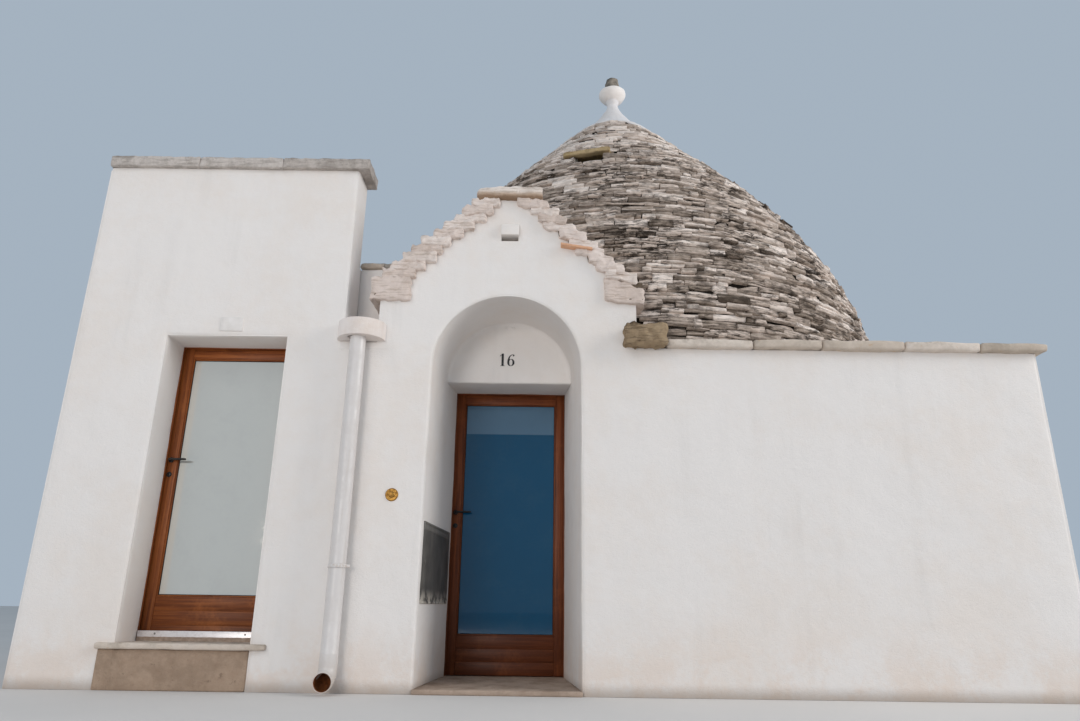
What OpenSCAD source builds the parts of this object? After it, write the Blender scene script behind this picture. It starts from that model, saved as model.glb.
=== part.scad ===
// Trullo house: a whitewashed entrance gable in front of a dry-stone cone, with a flat-roofed side room.
// Millimetres, +Z up, facade in the plane y = 0, the entrance on x = 0 and the ground at z = 0.

/* [Trullo walls] */
// Clear width of the square room under the cone
room_w = 3100; // [2700:50:3500]
// Thickness of the rubble walls
wall_t = 1050; // [1010:10:1200]
// Distance of the cone's axis to the right of the entrance
axis_x = 1030; // [980:10:1150]
// Thickness of the stone floor and of the threshold
floor_t = 30; // [20:5:40]
// How far the threshold stands out of the facade
threshold_out = 25; // [10:5:60]

/* [Entrance] */
// Width of the niche at the facade
niche_mouth_w = 1026; // [980:2:1060]
// Width of the niche at the door frame
niche_back_w = 868; // [840:2:900]
// Depth of the niche from the facade to the door frame
niche_depth = 931; // [900:1:940]
// Depth of the vault from the facade to the tympanum
tympanum_y = 548; // [450:2:600]
// Rise of the vault's crown, level from front to back, above the wall tops
vault_rise = 378; // [350:2:430]
// Thickness of the front edge of the door lintel
lintel_front_t = 100; // [90:5:130]
// Thickness of the door lintel over the door frame
lintel_t = 52; // [45:1:100]
// Height of the door frame above the threshold
door_frame_h = 2128; // [2000:2:2200]

/* [Entrance gable] */
// Half the width of the gabled wall
gable_half_w = 895; // [870:5:920]
// Thickness of the gabled wall above the wall tops
gable_t = 750; // [650:10:800]
// Height of the underside of the lowest, thick roof slabs above the wall tops
kneeler_rise = 330; // [310:5:350]
// Thickness of the lowest roof slabs
kneeler_h = 166; // [120:2:200]
// Width of the lowest roof slabs
kneeler_w = 280; // [260:5:320]
// How far the lowest roof slabs pass the sides of the gabled wall
kneeler_out = 67; // [40:1:90]
// How far each side of the roof steps in above the lowest slabs
verge_start = 62; // [40:1:80]
// Number of roof courses above the lowest slabs
verge_courses = 10; // [9:1:10]
// Thickness of one roof course
verge_course_h = 63.5; // [58:0.5:68]
// Step of one roof course towards the ridge
verge_step = 69; // [64:0.5:72]
// Width of one roof course
verge_w = 220; // [190:5:240]
// How far the roof courses stand out of the facade
verge_front = 50; // [20:5:80]
// Width of the ridge course
ridge_w = 449; // [430:5:480]
// Thickness of the ridge course
ridge_h = 98; // [80:2:120]
// Width of the vent slot under the ridge
vent_w = 123; // [90:5:150]
// Height of the vent slot
vent_h = 38; // [24:2:50]
// Distance of the bottom of the vent slot under the ridge course
vent_drop = 329; // [300:1:360]
// Depth of the vent slot
vent_d = 120; // [80:5:200]
// How far the small hood over the vent slot stands out
vent_hood_out = 35; // [15:1:48]
// Height of the small hood over the vent slot
vent_hood_h = 92; // [60:1:120]

/* [Cone] */
// Outer radius of the cone at the wall tops
cone_foot_r = 2450; // [2400:10:2500]
// Height above the wall tops of the point where the straight sides of the cone would meet
cone_apex_h = 3819; // [3770:1:3870]
// Run of the straight sides for each unit of rise
cone_slope = 0.91; // [0.89:0.005:0.93]
// Height above the wall tops below which the sides steepen towards the foot
cone_bend_h = 2220; // [2090:10:2390]
// Number of stone courses from the wall tops to the white cap
cone_courses = 48; // [44:1:52]
// Number of courses in the lower part of the cone
lower_courses = 25; // [24:1:26]
// Thickness of the cone at the wall tops
cone_foot_t = 900; // [850:10:950]
// Thickness of the cone beside the top of the hollow
cone_top_t = 450; // [400:10:500]
// Height of the closing slab over the hollow above the wall tops
dome_h = 3090; // [2990:10:3140]
// Height of the foot of the white cap above the wall tops
cap_foot_h = 3400; // [3370:5:3430]
// Turn of the small window from the front towards the left, in degrees
window_turn = 15.6; // [10:0.2:20]
// Width of the small window
window_w = 260; // [220:5:280]
// Height of the bottom of the small window above the wall tops
window_rise = 2240; // [2220:5:2260]
// Height of the small window
window_h = 150; // [120:5:170]
// Length of the slab over the small window
hood_w = 450; // [400:10:520]
// Thickness of the slab over the small window
hood_t = 60; // [40:5:70]
// How far the slab over the small window stands out
hood_out = 70; // [40:5:120]
// How far the slab over the small window runs into the cone
hood_bearing = 300; // [200:10:400]

/* [Pinnacle] */
// Radius of the white cap at its waist
neck_r = 69; // [55:1:78]
// Height of the white cap from its foot to its waist
cap_h = 465; // [440:5:490]
// Radius of the neck under the ball
neck_top_r = 80; // [79:1:95]
// Length of the neck from the waist to the ball
neck_h = 88; // [60:1:110]
// Half the width of the stone ball
ball_r = 155; // [130:1:170]
// Height that the part of the ball below its widest course would have if it ran to a point
ball_half_h = 100; // [80:1:130]
// Height that the flatter part above its widest course would have
crown_half_h = 70; // [60:1:100]
// Radius of the stub at its foot
stub_r = 86; // [75:1:95]
// Radius of the stub at its head
stub_top_r = 72; // [60:1:74]
// Height of the stub on the ball
stub_h = 138; // [100:1:180]

/* [Eaves, valley and rainwater] */
// Thickness of the slabs along the wall tops
eaves_t = 60; // [40:5:80]
// How far these slabs stand out
eaves_out = 60; // [30:5:90]
// Width of these slabs
eaves_w = 300; // [250:10:320]
// Left end of the spout slab
spout_left = 803; // [780:1:830]
// Right end of the spout slab
spout_right = 1091; // [1060:1:1120]
// Thickness of the spout slab
spout_t = 150; // [110:5:170]
// How far the spout slab stands out of the facade
spout_out = 125; // [80:5:160]
// How far the spout slab runs back beside the gabled wall
spout_back = 300; // [200:10:400]
// Distance of the small valley wall behind the facade
valley_wall_y = 600; // [560:10:700]
// Thickness of the small valley wall
valley_wall_t = 250; // [200:10:300]
// Height of the valley wall, its cap included, above the wall tops
valley_h = 890; // [790:10:940]
// Thickness of the valley wall's cap
valley_cap_t = 40; // [25:5:60]
// Left end of the half-round stone bowl
bowl_left = -1143; // [-1150:1:-1135]
// Right end of the half-round stone bowl
bowl_right = -816; // [-840:1:-800]
// Thickness of the stone bowl
bowl_t = 120; // [90:5:160]
// How far the bowl's tail runs back in the valley
bowl_tail = 250; // [200:10:400]
// Thickness of the bowl's rim
bowl_rim = 45; // [30:1:60]
// Depth of the basin cut in the bowl
basin_depth = 70; // [40:5:80]
// Outer radius of the drainpipe
pipe_r = 55; // [45:1:60]
// Wall thickness of the drainpipe
pipe_t = 4; // [3:0.5:5]
// Distance of the drainpipe's axis in front of the facade
pipe_y = 78; // [70:1:100]
// Distance of the drainpipe's axis to the left of the entrance
pipe_x = 1008; // [990:1:1020]
// Height of the middle of the drainpipe's outlet
outlet_z = 75; // [68:1:90]
// Radius of the bend at the foot of the drainpipe
bend_r = 80; // [75:1:100]
// Height of the pipe clamp
clamp_z = 724; // [600:5:900]

/* [Side room] */
// Distance of the joint between side room and trullo to the left of the entrance
party_x = 1131; // [1110:1:1140]
// Outer width of the side room
side_w = 1839; // [1800:5:2000]
// Thickness of the side room's front and back walls
side_front_t = 400; // [390:10:450]
// Thickness of the side room's other walls
side_wall_t = 300; // [250:10:330]
// Height of the side room's front parapet under the coping
side_wall_top = 3550; // [3500:5:3600]
// Thickness of the front parapet above the roof
parapet_t = 270; // [250:5:300]
// Height of the top of the side room's flat roof and of its walls beside and behind
side_roof_top = 2900; // [2850:10:2950]
// Thickness of the side room's flat roof
side_roof_t = 200; // [150:10:250]
// Thickness of the coping
coping_t = 97; // [70:1:110]
// How far the coping stands out
coping_out = 80; // [50:5:80]
// Height of the side room's floor
side_floor_z = 269; // [250:1:290]

/* [Side doorway] */
// Distance of the side doorway's right edge to the left of the entrance
side_door_right = 1516; // [1510:1:1530]
// Width of the side doorway
side_door_w = 827; // [790:1:840]
// Depth of the reveal in front of the side door's frame
side_reveal = 252; // [240:1:270]
// Height of the side door's frame above the step
side_frame_h = 2021; // [1950:1:2060]
// Thickness of the step slab
step_t = 35; // [25:1:50]
// How far the step slab stands out of the facade
step_out = 40; // [20:5:60]
// How far the step slab passes the doorway on each side
step_ear = 103; // [60:1:120]
// How far the riser stone stands out of the facade
riser_out = 12; // [5:1:20]
// Height of the metal sill bar
sill_h = 63; // [40:1:64]
// Thickness of the metal sill bar
sill_t = 12; // [6:1:14]

/* [Doors] */
// Depth of a door frame
frame_d = 70; // [68:1:75]
// How far a door frame reaches behind the masonry at its sides and its head
frame_hidden = 28; // [20:1:32]
// Width of a door frame's front rim
rim_w = 38; // [36:1:42]
// Thickness of a door frame's front rim
rim_t = 15; // [12:1:18]
// Width of a door frame beside its leaf
jamb_w = 30; // [26:1:34]
// Gap all round a door leaf
leaf_gap = 5; // [5:0.5:7]
// Width of a leaf's stiles
stile_w = 68; // [60:1:80]
// Height of a leaf's top rail
rail_w = 78; // [60:1:90]
// Height of a leaf's bottom panel
panel_h = 270; // [220:5:320]
// Thickness of the glass units
glass_t = 20; // [16:1:24]
// Radius of a hinge barrel
barrel_r = 7.5; // [7:0.1:7.8]
// Radius of a hinge pin
pin_r = 4; // [3.5:0.1:4.5]
// Running clearance round a hinge pin and between the halves of a hinge
hinge_clear = 0.3; // [0.2:0.05:0.4]
// Length of one half of a hinge
knuckle_h = 40; // [30:1:50]
// Thickness of a hinge plate
plate_t = 3; // [2:0.5:4]
// Height of the lowest hinge above the foot of a frame
hinge_foot = 200; // [150:10:300]
// Distance of the highest hinge below the head of a frame
hinge_head = 260; // [200:10:320]
// Radius of the roses behind the levers
rose_r = 18; // [14:1:20]
// Gap between a rose and the frame's rim beside it
rose_gap = 5; // [5:0.5:8]
// Height of the entrance door's handle above its threshold
handle_h = 1160; // [1000:10:1200]
// Height of the side door's handle above its step
side_handle_h = 1173; // [1000:10:1200]
// Reach of a door handle's lever
lever_l = 118; // [100:1:130]
// Distance of a keyhole plate under its lever
keyhole_drop = 100; // [80:1:120]

/* [Wall fittings] */
// Radius of the brass bell push
bell_r = 42; // [35:1:50]
// Distance of the bell push to the left of the entrance
bell_x = 717; // [700:1:740]
// Height of the bell push
bell_z = 1187; // [1100:1:1300]
// Distance of the meter door in the niche from the facade
meter_front = 50; // [40:5:100]
// Distance of the meter door from the door frame
meter_back = 61; // [50:1:100]
// Height of the meter door
meter_h = 510; // [450:5:560]
// Height of the bottom of the meter door
meter_z = 520; // [480:5:600]
// Thickness of the meter door
meter_t = 12; // [8:1:15]
// Gap between the meter door and the wall behind it
meter_seat = 0.3; // [0.2:0.1:0.5]

/* [Hidden] */

plaster = "#e9e3dc";
slab_stone = "#d6c8ba";
cone_stone = "#b3aaa0";
timber_dark = "#7a4326";
timber_light = "#9a5a2e";
dark_metal = "#2a2a2c";
// A cut runs this far past the faces that it opens
past = 50;
// Sides of a full turn of the cone
cone_fn = 288;
// Angle by which the two halves of the upper cone stay apart, in degrees
half_seam = 0.001;

eaves_z = floor_t + door_frame_h + lintel_t;
lintel_z = eaves_z - lintel_front_t;
vault_top = eaves_z + vault_rise;
room_half = room_w / 2;
room_left = axis_x - room_half;
room_right = axis_x + room_half;
axis_y = wall_t + room_half;
body_right = room_right + wall_t;
body_back = wall_t + room_w + wall_t;
side_left = -party_x - side_w;
niche_back = niche_depth + frame_d;
niche_splay = atan((niche_mouth_w - niche_back_w) / 2 / niche_depth);

kneeler_z = eaves_z + kneeler_rise;
kneeler_end = gable_half_w + kneeler_out;
course_end = kneeler_end - verge_start;
course_z = kneeler_z + kneeler_h;
ridge_z = course_z + verge_courses * verge_course_h;
vent_z = ridge_z - vent_drop;

cone_apex_z = eaves_z + cone_apex_h;
cone_bend_z = eaves_z + cone_bend_h;
dome_z = eaves_z + dome_h;
cap_z = eaves_z + cap_foot_h;
waist_z = cap_z + cap_h;
neck_z = waist_z + neck_h;
window_z = eaves_z + window_rise;
valley_top = eaves_z + valley_h;
cone_course_h = (cap_z - eaves_z) / cone_courses;
cone_split_z = eaves_z + lower_courses * cone_course_h;
bend_radius = (cone_apex_z - cone_bend_z) * cone_slope;
foot_curve = (bend_radius + cone_slope * cone_bend_h - cone_foot_r) / pow(cone_bend_h, 2);

side_door_left = side_door_right + side_door_w;
side_frame_top = side_floor_z + side_frame_h;

// Outer radius of the cone at height z: straight above the bend, a parabola that ends upright below it
function cone_r(z) =
    let (drop = cone_bend_z - z)
    drop < 0 ? (cone_apex_z - z) * cone_slope : bend_radius + cone_slope * drop - foot_curve * drop * drop;

// Radius of the hollow at height z
function hollow_r(z) =
    cone_r(z) - cone_foot_t + (cone_foot_t - cone_top_t) * (z - eaves_z) / (dome_z - eaves_z);

// Half the width of the niche at depth y
function niche_half(y) = niche_mouth_w / 2 - y * tan(niche_splay);

// A box given by its lowest and highest corner
module block(low, high) {
    translate(low) cube(high - low);
}

// An outline in x and z carried from depth y0 to depth y1
module across(y0, y1) {
    translate([0, y1, 0]) rotate([90, 0, 0]) linear_extrude(height = y1 - y0) children();
}

// The gabled wall above the wall tops, stepped under its roof courses
module gable_outline() {
    in0 = course_end - verge_w;
    right = concat(
        [[gable_half_w, eaves_z], [gable_half_w, kneeler_z],
            [kneeler_end - kneeler_w, kneeler_z], [kneeler_end - kneeler_w, course_z]],
        [for (i = [0:verge_courses - 1], k = [0, 1])
            [in0 - i * verge_step, course_z + (i + k) * verge_course_h]]);
    polygon(concat(right, [for (i = [len(right) - 1:-1:0]) [-right[i][0], right[i][1]]]));
}

// The stepped roof courses on the right, from the lowest slab up to the ridge
module roof_outline() {
    polygon(concat(
        [[kneeler_end - kneeler_w, kneeler_z], [kneeler_end, kneeler_z], [kneeler_end, course_z]],
        [for (i = [0:verge_courses - 1], k = [0, 1])
            [course_end - i * verge_step, course_z + (i + k) * verge_course_h]],
        [for (i = [verge_courses - 1:-1:0], k = [1, 0])
            [course_end - verge_w - i * verge_step, course_z + (i + k) * verge_course_h]],
        [[kneeler_end - kneeler_w, course_z]]));
}

module ridge_outline() {
    translate([-ridge_w / 2, ridge_z]) square([ridge_w, ridge_h]);
}

// The niche under the gable: splayed jambs, a vault with a level crown and the doorway behind it,
// wider from the door frame inwards so that the frame stands behind the jambs' edges
module niche_space() {
    back_half = niche_half(tympanum_y);
    door_half = niche_half(niche_depth);
    frame_half = door_half + frame_hidden;
    linear_extrude(height = vault_top - back_half)
        polygon([[-niche_half(-past), -past], [niche_half(-past), -past],
            [back_half, tympanum_y], [-back_half, tympanum_y]]);
    linear_extrude(height = eaves_z)
        polygon([[-back_half, tympanum_y], [back_half, tympanum_y], [door_half, niche_depth],
            [frame_half, niche_depth], [frame_half, wall_t + past], [-frame_half, wall_t + past],
            [-frame_half, niche_depth], [-door_half, niche_depth]]);
    intersection() {
        translate([0, 0, vault_top - niche_mouth_w / 2]) rotate([niche_splay, 0, 0])
            translate([0, -2 * past, 0]) rotate([-90, 0, 0])
                cylinder(r1 = niche_half(-2 * past), r2 = niche_half(tympanum_y + 2 * past),
                    h = tympanum_y + 4 * past, $fn = 96);
        block([-niche_mouth_w, -past, 0], [niche_mouth_w, tympanum_y, vault_top + past]);
    }
}

module front_wall_left() color(plaster) difference() {
    block([-party_x, 0, 0], [0, wall_t, eaves_z]);
    niche_space();
}

module front_wall_right() color(plaster) difference() {
    block([0, 0, 0], [body_right, wall_t, eaves_z]);
    niche_space();
}

// The stone lintel between the splayed jambs, its underside rising inwards, rebated over the door frame
module door_lintel() color(plaster) {
    half0 = niche_half(tympanum_y);
    half1 = niche_half(niche_depth);
    half2 = half1 + frame_hidden;
    frame_top = floor_t + door_frame_h;
    intersection() {
        translate([0, 0, lintel_z]) linear_extrude(height = eaves_z - lintel_z)
            polygon([[-half0, tympanum_y], [half0, tympanum_y], [half1, niche_depth],
                [half2, niche_depth], [half2, wall_t], [-half2, wall_t],
                [-half2, niche_depth], [-half1, niche_depth]]);
        translate([-half0 - past, 0, 0]) rotate([90, 0, 90]) linear_extrude(height = 2 * half0 + 2 * past)
            polygon([[tympanum_y, lintel_z], [niche_depth, frame_top - frame_hidden],
                [niche_depth, frame_top], [wall_t, frame_top], [wall_t, eaves_z], [tympanum_y, eaves_z]]);
    }
}

module left_wall() color(plaster)
    block([-party_x, wall_t, 0], [room_left, body_back - wall_t, eaves_z]);

module right_wall() color(plaster)
    block([room_right, wall_t, 0], [body_right, body_back - wall_t, eaves_z]);

module back_wall() color(plaster)
    block([-party_x, body_back - wall_t, 0], [body_right, body_back, eaves_z]);

module threshold() color(slab_stone) union() {
    linear_extrude(height = floor_t)
        polygon([[-niche_half(0), 0], [niche_half(0), 0], [niche_half(niche_depth), niche_depth],
            [niche_half(niche_depth), wall_t], [-niche_half(niche_depth), wall_t],
            [-niche_half(niche_depth), niche_depth]]);
    block([-niche_half(0), -threshold_out, 0], [niche_half(0), 0, floor_t]);
}

module trullo_floor() color(slab_stone)
    block([room_left, wall_t, 0], [room_right, body_back - wall_t, floor_t]);

module gable_wall() color(plaster) difference() {
    across(0, gable_t) gable_outline();
    niche_space();
    block([-vent_w / 2, -past, vent_z], [vent_w / 2, vent_d, vent_z + vent_h]);
}

// The whole entrance block in front of the cone
module entrance_block() {
    across(-verge_front, gable_t) {
        gable_outline();
        roof_outline();
        mirror([1, 0]) roof_outline();
        ridge_outline();
    }
}

module gable_roof_right() color(slab_stone) across(-verge_front, gable_t) roof_outline();

// The left slope runs on to the cone, over the fill behind the gabled wall
module gable_roof_left() color(slab_stone) {
    across(-verge_front, gable_t) mirror([1, 0]) roof_outline();
    difference() {
        across(gable_t, axis_y) intersection() {
            union() {
                gable_outline();
                mirror([1, 0]) roof_outline();
            }
            translate([-kneeler_end, eaves_z]) square([kneeler_end, ridge_z - eaves_z]);
        }
        translate([axis_x, axis_y, 0]) cone_body(0, cone_courses);
    }
}

module ridge_course() color(slab_stone) across(-verge_front, gable_t) ridge_outline();

// A small plastered hood over the slot, its top sloping down to the front
module gable_vent() color(plaster) {
    half = vent_w / 2 + 4;
    low = vent_z + vent_h;
    high = low + vent_hood_h;
    slope = vent_hood_out / 2;
    translate([-half, 0, 0]) rotate([90, 0, 90]) linear_extrude(height = 2 * half)
        polygon([[0, low], [-vent_hood_out, low], [-vent_hood_out, high - slope], [-slope, high], [0, high]]);
}

// Courses first to last of the solid cone, each a ring set back from the one below
module cone_body(first, last) {
    rotate_extrude($fn = cone_fn) polygon(concat(
        [[0, eaves_z + first * cone_course_h]],
        [for (i = [first:last - 1], k = [0, 1])
            [cone_r(eaves_z + (i + 0.5) * cone_course_h), eaves_z + (i + k) * cone_course_h]],
        [[0, eaves_z + last * cone_course_h]]));
}

// The corbelled hollow from height z0 to height z1
module cone_hollow(z0, z1, rings) {
    rotate_extrude($fn = cone_fn) polygon(concat([[0, z0]],
        [for (i = [0:rings]) let (z = z0 + (z1 - z0) * i / rings) [hollow_r(z), z]], [[0, z1]]));
}

// A wedge of the plan between two directions
module sector(from, to) {
    reach = 2 * cone_foot_r;
    middle = (from + to) / 2;
    translate([0, 0, eaves_z - past]) linear_extrude(height = cone_apex_z)
        polygon([[0, 0], reach * [cos(from), sin(from)], 2 * reach * [cos(middle), sin(middle)],
            reach * [cos(to), sin(to)]]);
}

module lower_cone(from, to) color(cone_stone) difference() {
    translate([axis_x, axis_y, 0]) intersection() {
        difference() {
            cone_body(0, lower_courses);
            cone_hollow(eaves_z, cone_split_z, 6);
        }
        sector(from, to);
    }
    entrance_block();
    block([side_left, -past, 0], [-party_x, body_back, side_roof_top]);
    valley_wall_solid();
    spout_solid();
}

module cone_front() lower_cone(-135, -45);
module cone_right() lower_cone(-45, 45);
module cone_back() lower_cone(45, 135);
module cone_left() lower_cone(135, 225);

// Places a piece that looks out of the cone towards the small window
module at_window() {
    translate([axis_x, axis_y, window_z]) rotate([0, 0, -window_turn]) children();
}

module window_space() {
    at_window() translate([-window_w / 2, -cone_foot_r, 0]) cube([window_w, cone_foot_r, window_h]);
}

// The hood bears on the stones on both sides of the window
module hood_space() {
    front = cone_r(window_z + window_h) + hood_out;
    at_window() translate([-hood_w / 2, -front, window_h]) cube([hood_w, hood_out + hood_bearing, hood_t]);
}

module upper_cone() difference() {
    translate([axis_x, axis_y, 0]) difference() {
        cone_body(lower_courses, cone_courses);
        cone_hollow(cone_split_z, dome_z, 5);
    }
    window_space();
    hood_space();
}

module cone_top_front() color(cone_stone) intersection() {
    upper_cone();
    translate([axis_x, axis_y, 0]) sector(-180, -half_seam);
}

module cone_top_back() color(cone_stone) intersection() {
    upper_cone();
    translate([axis_x, axis_y, 0]) sector(0, 180 - half_seam);
}

module window_hood() color(slab_stone) hood_space();

// The cap leaves the cone on its slope and curves in to the waist, above which the neck flares to the ball
cap_power = cone_slope * cap_h / (cone_r(cap_z) - neck_r);

module cone_cap() color(plaster) translate([axis_x, axis_y, 0])
    rotate_extrude($fn = 96) polygon(concat([[0, cap_z]],
        [for (i = [0:12]) let (t = i / 12)
            [neck_r + (cone_r(cap_z) - neck_r) * pow(1 - t, cap_power), cap_z + cap_h * t]],
        [for (i = [1:4]) let (t = i / 4) [neck_r + (neck_top_r - neck_r) * t * t, waist_z + neck_h * t]],
        [[0, neck_z]]));

// Directions on the ball where it meets the neck below and the stub above
ball_from = -acos(neck_top_r / ball_r);
ball_to = acos(stub_r / ball_r);
ball_z = neck_z - ball_half_h * sin(ball_from);
stub_z = ball_z + crown_half_h * sin(ball_to);

module pinnacle_ball() color(plaster) translate([axis_x, axis_y, 0])
    rotate_extrude($fn = 96) polygon(concat([[0, neck_z]],
        [for (i = [0:14]) let (a = ball_from + (ball_to - ball_from) * i / 14)
            [ball_r * cos(a), ball_z + (a < 0 ? ball_half_h : crown_half_h) * sin(a)]], [[0, stub_z]]));

module pinnacle_stub() color(cone_stone) translate([axis_x, axis_y, stub_z])
    cylinder(r1 = stub_r, r2 = stub_top_r, h = stub_h, $fn = 96);

// The slabs along the wall tops, with a narrow joint at each corner
module eaves_slabs() color(slab_stone) {
    joint = 2;
    inner_x = body_right + eaves_out - eaves_w;
    inner_y = body_back + eaves_out - eaves_w;
    difference() {
        union() {
            block([spout_right, -eaves_out, eaves_z],
                [body_right + eaves_out, eaves_w - eaves_out, eaves_z + eaves_t]);
            block([inner_x, eaves_w - eaves_out + joint, eaves_z],
                [body_right + eaves_out, inner_y - joint, eaves_z + eaves_t]);
            block([-party_x, inner_y, eaves_z],
                [body_right + eaves_out, body_back + eaves_out, eaves_z + eaves_t]);
        }
        translate([axis_x, axis_y, 0]) cone_body(0, 2);
    }
}

module spout_solid() {
    block([spout_left, -spout_out, eaves_z], [spout_right, 0, eaves_z + spout_t]);
    block([gable_half_w, 0, eaves_z], [spout_right, spout_back, eaves_z + spout_t]);
}

module spout_slab() color(slab_stone) spout_solid();

module valley_wall_solid() {
    block([-party_x, valley_wall_y, eaves_z],
        [-gable_half_w, valley_wall_y + valley_wall_t, valley_top - valley_cap_t]);
    block([-party_x, valley_wall_y - 15, valley_top - valley_cap_t],
        [-gable_half_w, valley_wall_y + valley_wall_t + 15, valley_top]);
}

module valley_wall() color(plaster) difference() {
    valley_wall_solid();
    across(-verge_front, axis_y) mirror([1, 0]) roof_outline();
}

// The bowl's round end hangs in front of the facade, its tail lies in the valley on the wall top
module stone_bowl() color(plaster) {
    mid = (bowl_left + bowl_right) / 2;
    half = (bowl_right - bowl_left) / 2;
    tail_left = -party_x;
    difference() {
        union() {
            intersection() {
                translate([mid, 0, eaves_z]) cylinder(r = half, h = bowl_t, $fn = 96);
                block([bowl_left, -half, eaves_z], [bowl_right, 0, eaves_z + bowl_t]);
            }
            block([tail_left, 0, eaves_z], [-gable_half_w, bowl_tail, eaves_z + bowl_t]);
        }
        translate([mid, 0, eaves_z + bowl_t - basin_depth])
            cylinder(r = half - bowl_rim, h = basin_depth + past, $fn = 96);
        translate([-pipe_x, -pipe_y, eaves_z - past])
            cylinder(r = pipe_r - pipe_t, h = bowl_t + past, $fn = 48);
    }
}

// The bend and the outlet turn towards the street
pipe_foot = outlet_z + bend_r;

module drainpipe() color(plaster) translate([-pipe_x, -pipe_y, pipe_foot]) difference() {
    cylinder(r = pipe_r, h = eaves_z - pipe_foot, $fn = 48);
    translate([0, 0, -past]) cylinder(r = pipe_r - pipe_t, h = eaves_z, $fn = 48);
}

module pipe_elbow() color(plaster) translate([-pipe_x, -pipe_y - bend_r, pipe_foot])
    rotate([90, 0, 90]) difference() {
        union() {
            rotate([0, 0, -90]) rotate_extrude(angle = 90, $fn = 48)
                translate([bend_r, 0]) circle(r = pipe_r, $fn = 48);
            translate([0, -bend_r, 0]) rotate([0, -90, 0]) cylinder(r = pipe_r, h = 25, $fn = 48);
        }
        rotate([0, 0, -90]) rotate_extrude(angle = 90, $fn = 48)
            translate([bend_r, 0]) circle(r = pipe_r - pipe_t, $fn = 48);
        translate([0, -bend_r, 0]) rotate([0, -90, 0])
            cylinder(r = pipe_r - pipe_t, h = 25 + past, $fn = 48);
    }

// A band round the pipe with a block that reaches the wall
module pipe_clamp() color(dark_metal) translate([-pipe_x, -pipe_y, clamp_z]) difference() {
    union() {
        cylinder(r = pipe_r + 3, h = 22, $fn = 48);
        block([-12, 0, 0], [12, pipe_y, 22]);
        block([pipe_r, -9, 2], [pipe_r + 22, 9, 20]);
    }
    translate([0, 0, -past]) cylinder(r = pipe_r, h = 3 * past, $fn = 48);
}

module meter_door() color("#5a5856") translate([-niche_mouth_w / 2, 0, meter_z])
    rotate([0, 0, -niche_splay]) translate([meter_seat, meter_front, 0])
        cube([meter_t, niche_depth - meter_front - meter_back, meter_h]);

module bell_push() color("#b08a4a") translate([-bell_x, 0, bell_z]) rotate([90, 0, 0]) {
    cylinder(r = bell_r, h = 8, $fn = 48);
    cylinder(r = bell_r * 0.45, h = 14, $fn = 48);
}

// The rebate in which the side door's frame stands, behind the edges of the reveal
module side_rebate() {
    block([-side_door_left - frame_hidden, side_reveal, side_floor_z],
        [frame_hidden - side_door_right, side_front_t + past, side_frame_top]);
}

// A length of the side room's front wall, with the thinner parapet that stands on it
module side_front(left, right, foot) difference() {
    union() {
        block([left, 0, foot], [right, side_front_t, side_roof_top]);
        block([left, 0, side_roof_top - past], [right, parapet_t, side_wall_top]);
    }
    side_rebate();
}

// The side room's walls, the front one split round its doorway
module side_front_left() color(plaster) side_front(side_left, -side_door_left, 0);
module side_front_right() color(plaster) side_front(-side_door_right, -party_x, 0);
module side_lintel() color(plaster)
    side_front(-side_door_left, -side_door_right, side_frame_top - frame_hidden);

module side_left_wall() color(plaster)
    block([side_left, side_front_t, 0],
        [side_left + side_wall_t, body_back - side_front_t, side_roof_top]);

module side_right_wall() color(plaster)
    block([-party_x - side_wall_t, side_front_t, 0],
        [-party_x, body_back - side_front_t, side_roof_top]);

module side_back_wall() color(plaster)
    block([side_left, body_back - side_front_t, 0], [-party_x, body_back, side_roof_top]);

module side_roof() color(plaster)
    block([side_left + side_wall_t, side_front_t, side_roof_top - side_roof_t],
        [-party_x - side_wall_t, body_back - side_front_t, side_roof_top]);

// Coping slabs on the parapet, flush with its back and with the party wall on the left
module side_coping() color(slab_stone)
    block([side_left, -coping_out, side_wall_top], [coping_out - party_x, parapet_t, side_wall_top + coping_t]);

module side_floor() color(slab_stone)
    block([side_left + side_wall_t, side_front_t, 0],
        [-party_x - side_wall_t, body_back - side_front_t, side_floor_z]);

module side_step() color(slab_stone) {
    block([-side_door_left - step_ear, -step_out, side_floor_z - step_t],
        [step_ear - side_door_right, 0, side_floor_z]);
    block([-side_door_left, 0, side_floor_z - step_t], [-side_door_right, side_front_t, side_floor_z]);
}

module side_riser() color(slab_stone)
    block([-side_door_left, -riser_out, 0],
        [-side_door_right, side_front_t, side_floor_z - step_t]);

module side_sill_bar() color("#b9bcc0")
    block([rim_w - frame_hidden - side_door_left, side_reveal - sill_t, side_floor_z],
        [frame_hidden - rim_w - side_door_right, side_reveal, side_floor_z + sill_h]);

// A door frame of width w and height h, its front face at y = 0 and its foot at z = 0
module frame_solid(w, h) {
    difference() {
        block([-w / 2, 0, 0], [w / 2, frame_d, h]);
        block([rim_w - w / 2, -past, -past], [w / 2 - rim_w, frame_d + past, h - rim_w]);
        block([jamb_w - w / 2, rim_t, -past], [w / 2 - jamb_w, frame_d + past, h - jamb_w]);
    }
}

// The leaf's outer size follows its frame's
function leaf_w(w) = w - 2 * (jamb_w + leaf_gap);
function leaf_h(h) = h - jamb_w - 2 * leaf_gap;
leaf_y = rim_t + leaf_gap;

// A glazed leaf: two stiles, a top rail and a bottom panel round one pane
module leaf_solid(w, h) {
    lw = leaf_w(w);
    lh = leaf_h(h);
    difference() {
        block([-lw / 2, leaf_y, leaf_gap], [lw / 2, frame_d, leaf_gap + lh]);
        block([stile_w - lw / 2, 0, leaf_gap + panel_h],
            [lw / 2 - stile_w, frame_d + past, leaf_gap + lh - rail_w]);
    }
}

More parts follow.
